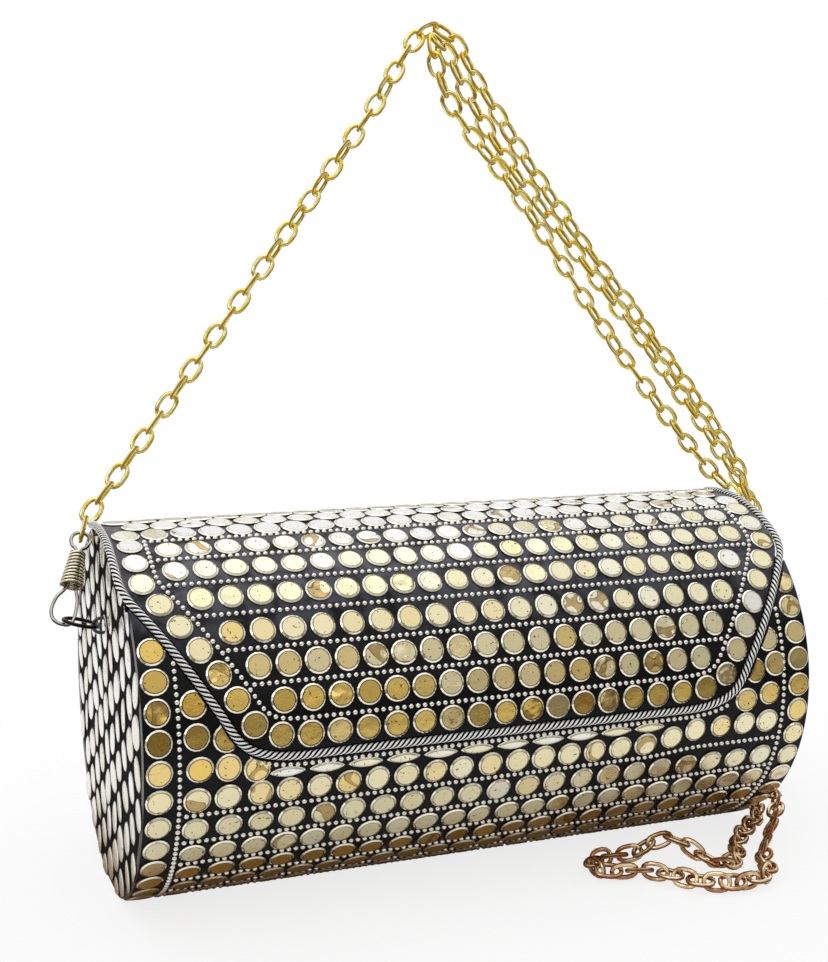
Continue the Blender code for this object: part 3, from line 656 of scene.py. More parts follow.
def chain_gold():
    """Bright yellow gold plating with painted light: painted highlights in patches, painted shade on the
    links' sides, and its own painted highlights and shade, rosier, at the loose end on the table.
    """
    shader = Shader("bright_gold_chain")
    # Painted light by height: the links lying on the table get rosier painted highlights and darker painted
    # shade
    lying = shader.height().step(0.030, 0.012)
    patch = shader.noise(240, 3.0, 0.5)
    # Painted highlights: pale yellow gleams in patches over the hanging links
    painted_gleam = shader.noise(430, 1.0, 0.4).step(0.46, 0.54)
    upper = shader.mix(painted_gleam, tone(1.0, 0.92, 0.40), tone(1.0, 0.73, 0.09))
    lower = shader.mix(patch.step(0.42, 0.62) * 0.9, tone(1.0, 0.80, 0.48), tone(0.50, 0.20, 0.07))
    bright = shader.mix(lying, upper, lower)
    shadow = shader.mix(lying, tone(0.32, 0.17, 0.02), tone(0.16, 0.04, 0.012))
    # Painted shade on the links' sides, where the metal also turns dull
    dark = shader.mark("side").step(0.74, 0.92)
    return shader.set(colour=shader.mix(dark * 0.95, bright, shadow), metallic=1.0 - dark * 0.85,
                      roughness=0.10 + patch * 0.12 + dark * 0.5, specular=0.05)


def lining_cloth():
    """Smooth black cloth: a fine plain weave along and round the barrel."""
    shader = Shader("black_lining_cloth")
    x, y, z = shader.parts(shader.place())
    pitch = 2 * math.pi / (0.45 * MM)
    weave = (x * pitch).wave() * ((y + z) * pitch).wave()
    colour = shader.mix(weave.step(-0.6, 0.9), tone(0.012, 0.012, 0.014), tone(0.035, 0.035, 0.040))
    shader.bump(weave, 0.00008, 0.5)
    return shader.set(colour=colour, roughness=0.72, sheen=0.15)


def make_materials():
    return {
        "discs": disc_metal(),
        "beads": bead_metal(),
        "rope": rope_metal(),
        "resin": black_resin(),
        "ground": matt_black(),
        "tiles": tile_metal(),
        "steel": plated_wire("silvered_wire", tone(0.62, 0.60, 0.53), tone(0.02, 0.018, 0.015), 0.15),
        "black_wire": plated_wire("blackened_wire", tone(0.10, 0.10, 0.10), tone(0.01, 0.01, 0.01), 0.22),
        "coil": plated_wire("pale_gold_coil", tone(0.97, 0.90, 0.66), tone(0.16, 0.10, 0.04), 0.18),
        "brass": plated_wire("satin_brass", tone(0.78, 0.66, 0.38), tone(0.52, 0.40, 0.18), 0.30),
        "chain": chain_gold(),
        "cloth": lining_cloth(),
    }


# Barrel and flap

def make_grounds(look):
    """The resin ground of barrel and flap, each as curved walls cut along the flap's outline."""
    hinge_gap = HINGE_EDGE / GROUND_RADIUS / DEGREE
    edge = moved_outline(EDGE, FLAP_RIM_ANGLE)
    edge = edge[edge[:, 0] < HALF_LENGTH]
    run = edge[-1] - edge[-2]
    last = edge[-1] + run * (HALF_LENGTH - HAIR - edge[-1, 0]) / run[0]
    back = np.linspace(HINGE_ANGLE + hinge_gap, 360 + edge[0, 1], 126)
    half, angles = np.concatenate((edge, last[None])).T
    points, faces = joined((
        block(back, -HALF_LENGTH, HALF_LENGTH, 2, INNER_RADIUS, GROUND_RADIUS),
        block(angles, half, HALF_LENGTH, 3, INNER_RADIUS, GROUND_RADIUS),
        block(angles, -HALF_LENGTH, -half, 3, INNER_RADIUS, GROUND_RADIUS)))
    points[:, 2] = np.maximum(points[:, 2], 0)
    piece("barrel_ground", points, faces, "bag", look["resin"], smooth=False,
          replaces=("barrel",))

    half, angles = moved_outline(-EDGE, HINGE_ANGLE - hinge_gap).T
    half = np.minimum(half, HALF_LENGTH)
    points, faces = block(angles, -half, half, 9, INNER_RADIUS, GROUND_RADIUS)
    piece("flap_ground", points, faces, "flap", look["resin"], smooth=False,
          replaces=("flap",))


def spaced(low, high, pitch):
    """Even places from low to high, both kept, as near to the pitch as fits."""
    count = max(1, round((high - low) / pitch))
    return np.linspace(low, high, count + 1)


def row(xs, *others):
    """A row of beads as columns of x and angle, or of discs as columns of x, angle, shade and size."""
    return np.column_stack(np.broadcast_arrays(xs, *others))


def flap_discs():
    rows = []
    slant_height = (FLAP_RIM_ANGLE - FLAP_CORNER_ANGLE) * DEGREE * GROUND_RADIUS
    slant = math.hypot(1, (RIM_HALF - FLAP_CORNER_HALF) / slant_height)
    for angle in FLAP_ROW_ANGLES:
        lean = slant if angle < FLAP_RIM_ANGLE else 1
        half = min(float(rope_half_width(angle)) - ROW_INSET * lean, RIM_HALF - ROW_INSET)
        rows.append(row(spaced(-half, half, DISC_PITCH), angle, by_angle(FLAP_PAINTED_REFLECTIONS, angle), 1))
    xs, angles = flap_beaded(BORDER_INSET, BORDER_TOP, DISC_PITCH).T
    rows.append(row(xs, angles, by_angle(FLAP_PAINTED_REFLECTIONS, angles), 1))
    # The packed rows by the hinge take the palest tone, a painted reflection of the light overhead
    for number, angle in enumerate(PACKED_ROW_ANGLES):
        half = RIM_HALF - BORDER_INSET - (number % 2) * DISC_PITCH / 2
        rows.append(row(spaced(-half, half, DISC_PITCH), angle, 0, PACKED_SIZE))
    return np.concatenate(rows)


def flap_beads():
    rows = [flap_beaded(BEAD_INSET, FLAP_TOP_BEADS, BEAD_PITCH)]
    line = flap_line(BEAD_INSET, FLAP_TOP_BEADS)
    right = line[line[:, 0] > RIM_HALF / 2]
    for angle in FLAP_BEAD_ANGLES:
        half = float(np.interp(angle, right[:, 1], right[:, 0])) - BEAD_PITCH
        rows.append(row(spaced(-half, half, BEAD_PITCH), angle))
    half = RIM_HALF - BEAD_INSET - BEAD_PITCH
    rows.append(row(spaced(-half, half, BEAD_PITCH), FLAP_TOP_BEADS))
    return np.concatenate(rows)


def rising(x):
    """How far the barrel's first row climbs towards its right end, in degrees: r s^2 (3 - 2 s)."""
    share = np.clip((x - RISE_START) / RISE_LENGTH, 0, 1)
    return FIRST_ROW_RISE * share * share * (3 - 2 * share)


def body_discs(generator):
    rows = []
    half = BODY_BEAD_HALF - DISC_RADIUS - BEAD_RADIUS - GAP
    for number in range(BODY_ROWS):
        angle = BODY_ROW_START + BODY_ROW_STEP * number
        xs = spaced(-half, half, DISC_PITCH * (WIDER_PITCH if number % 2 else 1))
        climb = rising(xs) if number == 0 else 0
        rows.append(row(xs, angle + climb, by_angle(BODY_PAINTED_REFLECTIONS, angle), 1))
    for side, top in BODY_BORDER_TOPS:
        angles = np.arange(top, BODY_BORDER_END, -BODY_BORDER_STEP)
        rows.append(row(side * BODY_BORDER_HALF, angles, by_angle(BODY_PAINTED_REFLECTIONS, angles), 1))
    xs, angles = np.array(LEFT_WEDGE + RIGHT_WEDGE).T
    rows.append(row(xs * MM, angles, by_angle(BODY_PAINTED_REFLECTIONS, angles), 1))
    discs = np.concatenate(rows)
    inner = np.abs(discs[:, 0]) < BODY_BEAD_HALF
    discs[inner, 0] += generator.uniform(-DISC_SHIFT, DISC_SHIFT, inner.sum())
    return discs


def body_beads():
    half = BODY_BEAD_HALF - BEAD_PITCH
    rows = []
    for number in range(BODY_ROWS - 1):
        xs = spaced(-half, half, BEAD_PITCH)
        climb = rising(xs) / 2 if number == 0 else 0
        rows.append(row(xs, BODY_ROW_START + BODY_ROW_STEP * (number + 0.5) + climb))
    angles = np.arange(BODY_BEAD_TOP, BODY_BEAD_END, -BEAD_PITCH / GROUND_RADIUS / DEGREE)
    for side in (-1, 1):
        rows.append(row(side * BODY_BEAD_HALF, angles))
    below = flap_line(-EDGE - BELOW_ROPE, FLAP_RIM_ANGLE)
    below = below[below[:, 1] < FLAP_FRONT_ANGLE]
    rows.append(from_flat(even_path(to_flat(below), BEAD_PITCH)))
    return np.concatenate(rows)


def keep_off_flap(points):
    """Moves points of the barrel's discs sideways out of the flap's sector, so that its edge cuts them."""
    angle = np.arctan2(points[:, 2] - AXIS_HEIGHT, -points[:, 1]) / DEGREE
    half, angles = moved_outline(EDGE + 0.1 * MM, FLAP_RIM_ANGLE).T
    least = np.interp(angle, angles, half, left=0, right=0)
    points[:, 0] = np.where(np.abs(points[:, 0]) < least, np.sign(points[:, 0]) * least, points[:, 0])


def tilted(frames, generator, most):
    """The frames leaning at random by up to most degrees, as hand-set pieces do."""
    lean = generator.normal(0, most / 2, (len(frames), 2)) * DEGREE
    along = frames[:, 0] + frames[:, 2] * lean[:, :1]
    upward = frames[:, 1] + frames[:, 2] * lean[:, 1:]
    return np.stack((unit(along), unit(upward), unit(np.cross(along, upward))), axis=1)


def lay_discs(name, places, body, look, generator):
    """Round discs, each with its own lean, size, tone and dents; the tone is the painted reflection given
    with the places plus random variation, and those to the left of the flap are deeper.
    """
    x, angle, shade, size = places.T
    count = len(places)
    frames = tilted(barrel_frames(angle), generator, DISC_LEAN)
    scales = generator.uniform(*DISC_SIZES, (count, 3)) * size[:, None]
    scales[:, 2] = 1
    deeper = np.clip(-x / HALF_LENGTH, -1, 1) * by_angle(DEEPER_LEFT, angle)
    shade = np.clip(shade + deeper + generator.normal(0, 0.10, count), 0, 1.3)
    dented = generator.random(count) < DENTED_SHARE
    dent = np.where(dented, generator.uniform(*DENT_DEPTHS, count), SMOOTH_DEPTH)
    scatter(name, domed(circle(DISC_SIDES) * DISC_RADIUS, DISC_DOME, MM), on_barrel(x, angle, GROUND_RADIUS),
            frames, body, look["discs"], scales, {"shade": shade, "dent": dent},
            fit=keep_off_flap if body == "bag" else None, smooth=False)


def lay_beads(name, places, body, look):
    x, angle = places.T
    scatter(name, domed(circle(BEAD_SIDES) * BEAD_RADIUS, BEAD_DOME, BEAD_RADIUS),
            on_barrel(x, angle, GROUND_RADIUS), barrel_frames(angle), body, look["beads"])


def lay_lenses(look, generator):
    """Pointed oval discs in one row under the flap's front edge: y = b sin u |sin u|^0.5."""
    rim = circle(LENS_SIDES) * LENS_SIZE
    rim[:, 1] *= np.sqrt(np.abs(circle(LENS_SIDES)[:, 1]))
    xs = spaced(*LENS_ENDS, LENS_PITCH)
    angles = np.full(len(xs), LENS_ANGLE)
    frames = tilted(barrel_frames(angles), generator, 2)
    marks = {"shade": generator.uniform(0.05, 0.5, len(xs)), "dent": np.full(len(xs), 0.2)}
    scatter("front_lens_discs", domed(rim, LENS_DOME, MM), on_barrel(xs, angles, GROUND_RADIUS), frames,
            "bag", look["discs"], marks=marks)


def make_mosaic(look):
    generator = np.random.default_rng(SEED)
    lay_discs("flap_discs", flap_discs(), "flap", look, generator)
    lay_discs("barrel_discs", body_discs(generator), "bag", look, generator)
    lay_beads("flap_beads", flap_beads(), "flap", look)
    lay_beads("barrel_beads", body_beads(), "bag", look)
    lay_lenses(look, generator)


def make_rope(look):
    """Four strands twisted together: radius = R (1 - d (1 - |sin(2 u + pi s / p)|)), s along the rope."""
    flat = even_path(to_flat(flap_line(0, ROPE_END_ANGLE)), 0.2 * MM)
    x, angle = from_flat(flat).T
    path = on_barrel(x, angle, GROUND_RADIUS)
    sides = 24
    turn = np.arange(sides) * 2 * math.pi / sides
    wave = np.abs(np.sin(2 * turn[None] + math.pi * lengths_along(flat)[:, None] / STRAND_LENGTH))
    radius = STRAND_RADIUS * (1 - GROOVE_SHARE + GROOVE_SHARE * wave)
    points, faces = tube(path, radius, sides, unit(path - on_barrel(x, angle, 0.0)))
    # The groove mark tells the rope's material where to paint its shade
    piece("rope_trim", points, faces, "flap", look["rope"], marks={"painted_groove_shade": 1 - wave},
          replaces=("flap_rope_trim",))


# End caps

def tile_centres():
    """Places of the tiles in columns, every second column half a tile higher."""
    reach = math.ceil(GROUND_RADIUS / TILE_ACROSS)
    steps = np.arange(-reach, reach + 1)
    column, line = np.meshgrid(steps, steps, indexing="ij")
    across = column * TILE_ACROSS
    up = (line + 0.5 * (column % 2)) * TILE_UP
    places = np.column_stack((across.ravel(), up.ravel()))
    return places[np.hypot(places[:, 0], places[:, 1]) < GROUND_RADIUS - TILE_MARGIN]


def hexagon(sides):
    """A hexagon rounded halfway to a circle, upright on one corner."""
    turn = np.arange(sides) * 2 * math.pi / sides
    within = np.mod(turn - math.pi / 2, math.pi / 3) - math.pi / 6
    reach = 0.5 + 0.5 * math.cos(math.pi / 6) / np.cos(within)
    return circle(sides) * reach[:, None]


def keep_in_rim(points):
    """Draws points of the tiles in to the barrel's rim, and under the flap's sector to its inner wall."""
    up = points[:, 2] - AXIS_HEIGHT
    angle = np.arctan2(up, -points[:, 1]) / DEGREE
    under_flap = (angle > UNDER_FLAP_ANGLE) & (angle < HINGE_ANGLE)
    most = np.where(under_flap, INNER_RADIUS - 0.5 * MM, GROUND_RADIUS - 0.6 * MM)
    shrink = np.minimum(1, most / np.maximum(np.hypot(points[:, 1], up), HAIR))
    points[:, 1] *= shrink
    points[:, 2] = AXIS_HEIGHT + up * shrink


def make_end(name, side, look, generator):
    """A resin plate and its field of domed tiles, cut along the barrel's rim."""
    frame = np.array([[[0, side, 0], [0, 0, 1], [side, 0, 0]]], float)
    centre = np.array([[side * HALF_LENGTH, 0, AXIS_HEIGHT]])
    plate, faces = domed(circle(96) * (INNER_RADIUS - GAP), PLATE_DOME, CAP_THICKNESS)[:2]
    points, blocks = stamp(plate, faces, centre, frame)
    piece(f"{name}_cap_plate", points, blocks, "bag", look["ground"], smooth=False,
          replaces=(f"{name}_end_cap",))

    places = tile_centres()
    count = len(places)
    places += generator.uniform(-TILE_SHIFT, TILE_SHIFT, (count, 2))
    centres = centre + places @ ((0, 1, 0), (0, 0, 1))
    frames = tilted(np.repeat(frame, count, axis=0), generator, TILE_LEAN)
    turn = generator.uniform(-TILE_TURN, TILE_TURN, count)[:, None] * DEGREE
    across, up = frames[:, 0].copy(), frames[:, 1].copy()
    frames[:, 0] = across * np.cos(turn) + up * np.sin(turn)
    frames[:, 1] = up * np.cos(turn) - across * np.sin(turn)
    widths = generator.uniform(*TILE_WIDTHS, count)
    heights = generator.uniform(*TILE_HEIGHTS, count)
    rim = hexagon(TILE_SIDES) * (TILE_ACROSS, TILE_UP) * TILE_FILL
    scatter(f"{name}_cap_tiles", domed(rim, TILE_DOME, MM), centres, frames, "bag",
            look["tiles"], np.column_stack((widths, heights, np.ones(count))),
            {"shade": generator.uniform(0, 1, count) ** 1.5}, fit=keep_in_rim)


# Inside

def make_linings(look):
    """Black cloth on the inner walls of barrel and flap."""
    outer = INNER_RADIUS - GAP
    half = HALF_LENGTH - CAP_THICKNESS - 2 * GAP
    angles = np.linspace(*BARREL_LINING_ANGLES, 76)
    points, faces = block(angles, -half, half, 2, outer - LINING, outer)
    piece("barrel_cloth", points, faces, "bag", look["cloth"], smooth=False,
          replaces=("barrel_lining",))
    angles = np.linspace(*FLAP_LINING_ANGLES, 30)
    wide = np.minimum(rope_half_width(angles) - FLAP_LINING_INSET, half)
    points, faces = block(angles, -wide, wide, 2, outer - LINING, outer)
    piece("flap_cloth", points, faces, "flap", look["cloth"], smooth=False,
          replaces=("flap_lining",))


# Fittings at the ends, from the same values as the part's source
RING_RADIUS = 4.6 * MM
RING_REACH = HALF_LENGTH + 1.6 * MM + RING_RADIUS
RING_HEIGHT = AXIS_HEIGHT + 24 * MM
RING_TILT = 14 * DEGREE
RING_WIRE = 0.52 * MM
WIRES_APART = 1.25 * MM        # from the ring's wire to the wires that hook into it
CLASP_WIRE = 0.48 * MM
STAPLE_WIRE = 0.46 * MM
STAPLE_HALF = 1.9 * MM
CLASP_AXIS = unit(np.array((8.0, 17.5, 21.0)))
# The clasp's wire in its own plane, in millimetres from its foot: outer and inner side, and the eye
CLASP_OUTER = [(1.8, 0.3), (3.3, 1.6), (3.9, 4.2), (3.2, 7.8), (1.3, 11.3), (0.75, 17.0), (0.6, 22.7)]
CLASP_INNER = [(1.2, 0.2), (2.1, 1.4), (2.4, 4.0), (2.2, 8.0), (1.3, 11.3), (0.75, 17.0), (0.6, 22.7)]
CLASP_EYE = [(1.9, 24.4), (2.5, 26.0), (2.1, 27.7), (0.8, 28.6)]
COIL_TURNS = 10
COIL_RADII = (2.75 * MM, 1.62 * MM)
COIL_HEIGHTS = (11.7 * MM, 22.4 * MM)


def clasp_outward(side):
    across = np.array((side, 0.0, 0.0))
    return unit(across - CLASP_AXIS * across.dot(CLASP_AXIS))


def ring_point(side, turn):
    turn = np.asarray(turn, float) * DEGREE
    flat = RING_RADIUS * np.cos(turn)
    return np.stack((side * (RING_REACH + flat * math.cos(RING_TILT)), RING_RADIUS * np.sin(turn),
                     RING_HEIGHT + flat * math.sin(RING_TILT)), axis=-1)


def clasp_foot(side):
    return ring_point(side, 0) - np.array((0, 0, WIRES_APART))


def wire(name, path, radius, sides, reference, material, node, closed=True, mark_axis=None):
    """A round wire of the bag. A mark axis of its section marks how far each point lies towards a side."""
    points, faces = tube(path, radius, sides, np.array(reference, float), closed)
    marks = {}
    if mark_axis is not None:
        marks["side"] = side_marks(sides, mark_axis, len(path))
    piece(name, points, faces, "bag", material, marks=marks, replaces=(node,))


def side_marks(sides, axis, copies):
    """How far each point of a round section lies towards one of its axes, 0 to 1."""
    return np.tile(np.abs(circle(sides)[:, axis]), copies)


def make_clasp(name, side, look):
    left = [(-out, height) for out, height in (CLASP_INNER + CLASP_EYE)[::-1]]
    flat = np.array([(0, 0)] + CLASP_OUTER + CLASP_EYE + left, float) * MM
    outward = clasp_outward(side)
    path = clasp_foot(side) + flat[:, :1] * outward + flat[:, 1:] * CLASP_AXIS
    wire(f"{name}_clasp", smooth_path(path, 0.4 * MM, closed=True), CLASP_WIRE, 10,
         unit(np.cross(outward, CLASP_AXIS)), look["steel"], f"{name}_clasp_wire",
         mark_axis=1)


def make_coil(name, side, look):
    """A cone of wire round the clasp's neck: radius and height run evenly between their ends."""
    turn = np.linspace(0, 2 * math.pi * COIL_TURNS, COIL_TURNS * 26 + 1)
    radius = np.linspace(*COIL_RADII, len(turn))[:, None]
    height = np.linspace(*COIL_HEIGHTS, len(turn))[:, None]
    across = clasp_outward(side)
    back = np.cross(CLASP_AXIS, across)
    round_axis = np.cos(turn)[:, None] * across + np.sin(turn)[:, None] * back
    wire(f"{name}_coil", clasp_foot(side) + radius * round_axis + height * CLASP_AXIS, CLASP_WIRE, 8,
         CLASP_AXIS, look["coil"], f"{name}_clasp_coil", closed=False, mark_axis=0)


def make_ring(name, side, look):
    normal = (-side * math.sin(RING_TILT), 0, math.cos(RING_TILT))
    wire(f"{name}_round_ring", ring_point(side, np.arange(0, 360, 7.5)), RING_WIRE, 10, normal,
         look["black_wire"], f"{name}_ring", mark_axis=1)


def make_staple(name, side, look):
    """A bent wire out of the end, round the ring and back, as distance out and share of its half height."""
    near = ring_point(side, 180)
    start = HALF_LENGTH + GAP
    tip = abs(near[0]) + WIRES_APART
    upper = [(start, 1.05), ((start + tip) / 2, 0.98), (tip - 0.1 * MM, 0.55), (tip, 0)]
    arch = upper + [(out, -share) for out, share in upper[-2::-1]]
    path = [(side * out, 0, near[2] + STAPLE_HALF * share) for out, share in arch]
    wire(f"{name}_staple", smooth_path(path, 0.3 * MM), STAPLE_WIRE, 10, (0, 1, 0),
         look["black_wire"], f"{name}_ring_staple", closed=False)


# Chain strap: the same route as in the part's source, in millimetres
LEAVE_LEFT = [(-0.6, 20, -0.2), (9, 22, 11.6)]
RISE_LEFT = [(-65, 23, 38.3), (-31, 26, 83.3), (-8, 30, 113.3), (3, 33, 129.3)]
OVER_THE_TOP = [(9, 34.5, 136.8), (15, 35, 139.3), (21, 35, 135.3)]
FALL_FAR = [(29, 35, 123.3), (51, 35, 93.3)]
PASS_FAR = [(-6, 35, 49.3), (23, 35, 14.3), (33, 35, -2.7)]
DOWN_FAR = [(39, 34, 72), (40, 30, 42), (36, 22, 16), (24, 10, 4), (12, -4, 3)]
FLOOR_IN = [(5, -15, 3), (2.5, -23.5, 3), (-5, -30.5, 3), (-12, -36.5, 3), (-18, -43, 3), (-22.5, -49.5, 3)]
FLOOR_DIP = [(-27, -54.5, 3), (-33, -54.5, 3.5)]
FLOOR_HUMP = [(-37, -50, 6), (-41, -46.5, 9), (-46, -44, 7.5), (-50, -41, 4)]
FLOOR_FOLD = [(-54, -39, 3), (-59.5, -38.5, 3), (-64, -41.5, 3), (-64, -46.5, 3), (-59.5, -49.5, 3),
              (-53, -51, 3)]
FLOOR_OUT = [(-48, -56, 3), (-44, -62, 3), (-37, -66.5, 3), (-29.5, -67.5, 3), (-22.5, -64.5, 3),
             (-19, -58.5, 3), (-15.5, -52, 3)]
FLOOR_OVER = [(-9, -44.5, 4), (-2, -37.5, 6.3), (4.5, -29, 8.7), (6.5, -20, 9.3), (12, -10, 9.3),
              (19, -4.5, 8.5)]
RISE_MIDDLE = [(26, 2, 8), (36, 12, 17), (40, 21, 42), (38, 27, 72)]
PASS_MIDDLE = [(30, 28.5, -5.7), (16, 28.5, 13.3), (-14, 28.5, 49.3)]
TO_THE_TOP = [(42, 28.5, 92.3), (30, 28.5, 107.3), (21, 28.5, 121.3)]
FOLD_AT_TOP = [(16, 28.5, 130.3), (12, 27, 134.8), (9, 24.5, 133.8), (9, 22.5, 128.3)]
FALL_NEAR = [(13, 22, 117.3), (21, 22, 106.3), (34, 22, 92.3)]
REACH_RIGHT = [(-30.3, 22, 52.3), (-11.7, 22, 29.6), (3, 22, 12.5), (11.5, 22.3, 3.7), (17.5, 21, -1.8)]
LINK_PITCH = 6.0 * MM
SLACK_PITCH = 4.3 * MM         # of the loose links on the table
LINK_WIRE = 0.64 * MM
LINK_HALVES = (3.45 * MM, 2.2 * MM)    # length and width, to the middle of the wire
LINK_POINTS = 14
LINK_SIDES = 8
STRAP_REACH = 26.85 * MM       # from the clasp's foot to the strap's end
SLACK_HEIGHT = 12 * MM         # under which the links begin to lie closer together
ROLL_HEIGHT = 14 * MM
ROLL = 13                      # degrees that links turn at random
LYING_ROLL = 14                # degrees added where they lie on the table


def strap_end(side):
    return clasp_foot(side) + CLASP_AXIS * STRAP_REACH


def strap_route():
    """The strap's way: left clasp, hanging point, table, hanging point again, right clasp."""
    top = AXIS_HEIGHT + GROUND_RADIUS
    left = (-HALF_LENGTH, 0, top)
    middle = (0, 0, top)
    right = (HALF_LENGTH, 0, top)
    table = (HALF_LENGTH, 0, 0)
    stretches = ((left, LEAVE_LEFT), (middle, RISE_LEFT + OVER_THE_TOP + FALL_FAR), (right, PASS_FAR),
                 (table, DOWN_FAR + FLOOR_IN + FLOOR_DIP + FLOOR_HUMP),
                 (table, FLOOR_FOLD + FLOOR_OUT + FLOOR_OVER + RISE_MIDDLE),
                 (right, PASS_MIDDLE), (middle, TO_THE_TOP + FOLD_AT_TOP + FALL_NEAR), (right, REACH_RIGHT))
    placed = [np.array(places) * MM + anchor for anchor, places in stretches]
    return np.concatenate((strap_end(-1)[None], *placed, strap_end(1)[None]))


def lying(heights, level):
    """How much the strap lies on the table, from 0 above the level to 1 a few millimetres under it."""
    return np.clip((level - heights) / (8 * MM), 0, 1)


def strap_joints():
    """Where the links meet: one pitch apart where the strap hangs, closer where it lies slack."""
    curve = smooth_path(strap_route(), FINE_STEP)
    pitch = LINK_PITCH + (SLACK_PITCH - LINK_PITCH) * lying(curve[:, 2], SLACK_HEIGHT)
    links = np.diff(lengths_along(curve)) * 2 / (pitch[1:] + pitch[:-1])
    count = np.concatenate(([0], np.cumsum(links)))
    return points_at(np.linspace(0, count[-1], round(count[-1]) + 1), count, curve)


def link_axes(joints):
    """Each link's direction, and its width axis turned a quarter from the link before it."""
    along = unit(np.diff(joints, axis=0))
    normal = np.array((1.0, 0.0, 0.0))
    across = []
    for number, direction in enumerate(along):
        normal = unit(normal - direction * normal.dot(direction))
        across.append(np.cross(direction, normal) if number % 2 == 0 else normal)
    return along, np.array(across)


def make_strap(look):
    """Oval links, middle line (a cos t |cos t|^-0.2, b sin t |sin t|^-0.15), each held by the next."""
    joints = strap_joints()
    along, across = link_axes(joints)
    turn = circle(LINK_POINTS)
    flat = np.sign(turn) * np.abs(turn) ** (0.80, 0.85) * LINK_HALVES
    oval = np.column_stack((flat, np.zeros(LINK_POINTS)))
    shape, faces = tube(oval, LINK_WIRE, LINK_SIDES, (0, 0, 1.0), closed=True)
    centres = (joints[1:] + joints[:-1]) / 2
    generator = np.random.default_rng(SEED)
    most = ROLL + LYING_ROLL * lying(centres[:, 2], ROLL_HEIGHT)
    roll = (generator.normal(0, 1, len(centres)) * most * DEGREE)[:, None]
    normal = np.cross(along, across)
    rolled = across * np.cos(roll) + normal * np.sin(roll)
    frames = np.stack((along, rolled, np.cross(along, rolled)), axis=1)
    points, blocks = stamp(shape, faces, centres, frames)
    points[:, 2] = np.maximum(points[:, 2], 0)
    marks = {"side": side_marks(LINK_SIDES, 1, LINK_POINTS * len(centres))}
    piece("chain_strap", points, blocks, "bag", look["chain"], marks=marks,
          replaces=("strap_chain",))


def finish_nodes(frame, look):
    """Better materials for the pieces whose source shape is right."""
    looks = {"front_lip": "resin", "lip_magnet": "steel", "flap_magnet": "steel",
             "hinge_barrel_leaf": "brass", "hinge_flap_leaf": "brass", "hinge_pin": "brass",
             "left_end_lining": "cloth", "right_end_lining": "cloth"}
    for node, key in looks.items():
        frame["nodes"][node].material_slots[0].material = look[key]


# Floor, light and camera
FLOOR_HALF = 3.0
CAMERA_PLACE = (-0.15868, -0.38966, 0.15887)
CAMERA_AZIMUTH = -21.377 * DEGREE
CAMERA_ELEVATION = 7.253 * DEGREE
SENSOR_HEIGHT = 24
PICTURE_HEIGHT = 962           # pixels, as is the next
FOCAL_LENGTH = 1490.5


def make_floor():
    """A white table. What metal mirrors of it is darker under the barrel and far away: a painted shadow under
    the barrel and a painted dark floor far away, seen only in reflections.
    """
    mesh = bpy.data.meshes.new("floor")
    corners = [(x * FLOOR_HALF, y * FLOOR_HALF, 0) for x, y in ((-1, -1), (1, -1), (1, 1), (-1, 1))]
    mesh.from_pydata(corners, [], [(0, 1, 2, 3)])
    shader = Shader("white_table")
    place = shader.place()
    x, y = shader.parts(place)[:2]
    length = shader.add("ShaderNodeVectorMath", {"operation": "LENGTH"}, [place])
    away = Maths(shader, length.outputs["Value"])
    light_path = shader.add("ShaderNodeLightPath")
    seen = Maths(shader, light_path.outputs["Is Camera Ray"])
    mirrored = Maths(shader, light_path.outputs["Is Glossy Ray"])
    ahead = y.step(0.10, -0.10)
    # Painted reflection and shadow, for mirrored rays only: the table darker far away, and a painted shadow
    # under the barrel
    far = away.step(0.16, 0.42) * ahead + away.step(0.45, 1.0) * (1 - ahead)
    under = y.step(-0.047, -0.033) * y.step(0.075, 0.055) * x.size().step(0.125, 0.095)
    table = shader.mix(far * mirrored, tone(0.96, 0.96, 0.96), tone(0.17, 0.15, 0.13))
    colour = shader.mix(under * mirrored, table, tone(0.46, 0.34, 0.24))
    shader.set(colour=colour, roughness=0.9, specular=0.0)
    glow = shader.add("ShaderNodeEmission", None, {"Color": tone(1, 1, 1), "Strength": 1.0})
    share = seen * (away.step(0.10, 0.26) * 0.2 + 0.8)
    mixed = shader.add("ShaderNodeMixShader", None, [share, shader.surface.outputs[0], glow.outputs[0]])
    shader.join(shader.tree.nodes["Material Output"].inputs["Surface"], mixed.outputs[0])
    mesh.materials.append(shader.material)
    floor = bpy.data.objects.new("floor", mesh)
    bpy.context.scene.collection.objects.link(floor)


def make_world():
    """White behind the object; what metal mirrors is a pale studio, dimmer low down on the camera's side."""
    world = bpy.data.worlds.new("studio")
    bpy.context.scene.world = world
    nodes = Nodes(world)
    nodes.tree.nodes.clear()
    y, z = nodes.parts(nodes.add("ShaderNodeTexCoord").outputs["Generated"])[1:]
    lit = z.step(0.40, 0.80).most(y.step(-0.30, 0.35) * z.step(0.04, 0.22))
    low = nodes.mix(z.step(-0.10, 0.28), tone(0.34, 0.32, 0.28), tone(0.52, 0.51, 0.48))
    colour = nodes.mix(lit, low, tone(0.93, 0.94, 0.97))
    studio = nodes.add("ShaderNodeBackground", None, {"Color": colour, "Strength": 1.0})
    white = nodes.add("ShaderNodeBackground", None, {"Color": tone(1, 1, 1), "Strength": 1.0})
    seen = nodes.add("ShaderNodeLightPath").outputs["Is Camera Ray"]
    mixed = nodes.add("ShaderNodeMixShader", None, [seen, studio.outputs[0], white.outputs[0]])
    nodes.add("ShaderNodeOutputWorld", None, {"Surface": mixed.outputs[0]})


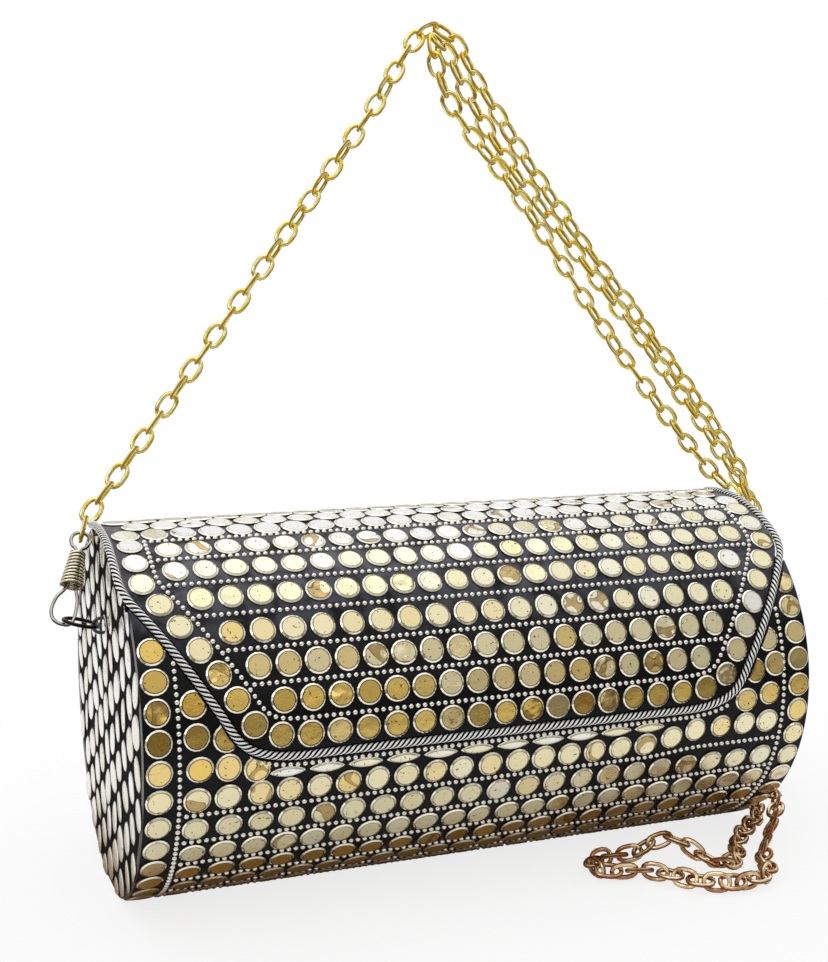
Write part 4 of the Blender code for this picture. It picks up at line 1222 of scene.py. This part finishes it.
def stand(name, data, place, back, up_hint):
    """A lamp or camera at a place, looking away from its back direction."""
    made = bpy.data.objects.new(name, data)
    bpy.context.scene.collection.objects.link(made)
    right = unit(np.cross(up_hint, back))
    matrix = np.eye(4)
    matrix[:3] = np.column_stack((right, np.cross(back, right), back, place))
    made.matrix_world = matrix.T.tolist()
    return made


def area_light(name, place, size, power):
    """A softbox that faces the middle of the bag."""
    lamp = bpy.data.lights.new(name, "AREA")
    lamp.shape = "RECTANGLE"
    lamp.size, lamp.size_y = size
    lamp.energy = power
    out = unit(np.array(place) - (0, 0, 0.06))
    stand(name, lamp, place, out, (0, 1.0, 0) if abs(out[2]) > 0.9 else (0, 0, 1.0))


def make_lights():
    area_light("overhead_softbox", (0.0, 0.15, 0.95), (0.9, 0.7), 1.15)
    area_light("left_softbox", (-0.85, -0.35, 0.55), (0.4, 0.4), 0.8)
    area_light("front_strip", (0.30, -0.95, 0.40), (0.45, 0.07), 0.16)


def make_camera():
    camera = bpy.data.cameras.new("camera")
    camera.sensor_fit = "VERTICAL"
    camera.sensor_height = SENSOR_HEIGHT
    camera.lens = SENSOR_HEIGHT * FOCAL_LENGTH / PICTURE_HEIGHT
    camera.clip_start = 0.01
    level = math.cos(CAMERA_ELEVATION)
    back = np.array((math.sin(CAMERA_AZIMUTH) * level, -math.cos(CAMERA_AZIMUTH) * level,
                     math.sin(CAMERA_ELEVATION)))
    bpy.context.scene.camera = stand("camera", camera, CAMERA_PLACE, back, (0, 0, 1.0))


def main():
    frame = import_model()
    bpy.context.scene.view_settings.view_transform = "Standard"
    make_camera()
    make_floor()
    make_world()
    make_lights()
    look = make_materials()
    make_grounds(look)
    make_mosaic(look)
    make_rope(look)
    generator = np.random.default_rng(SEED + 1)
    ends = (("left", -1), ("right", 1))
    for name, side in ends:
        make_end(name, side, look, generator)
    make_linings(look)
    for name, side in ends:
        make_clasp(name, side, look)
        make_coil(name, side, look)
        make_ring(name, side, look)
        make_staple(name, side, look)
    make_strap(look)
    finish_nodes(frame, look)


main()
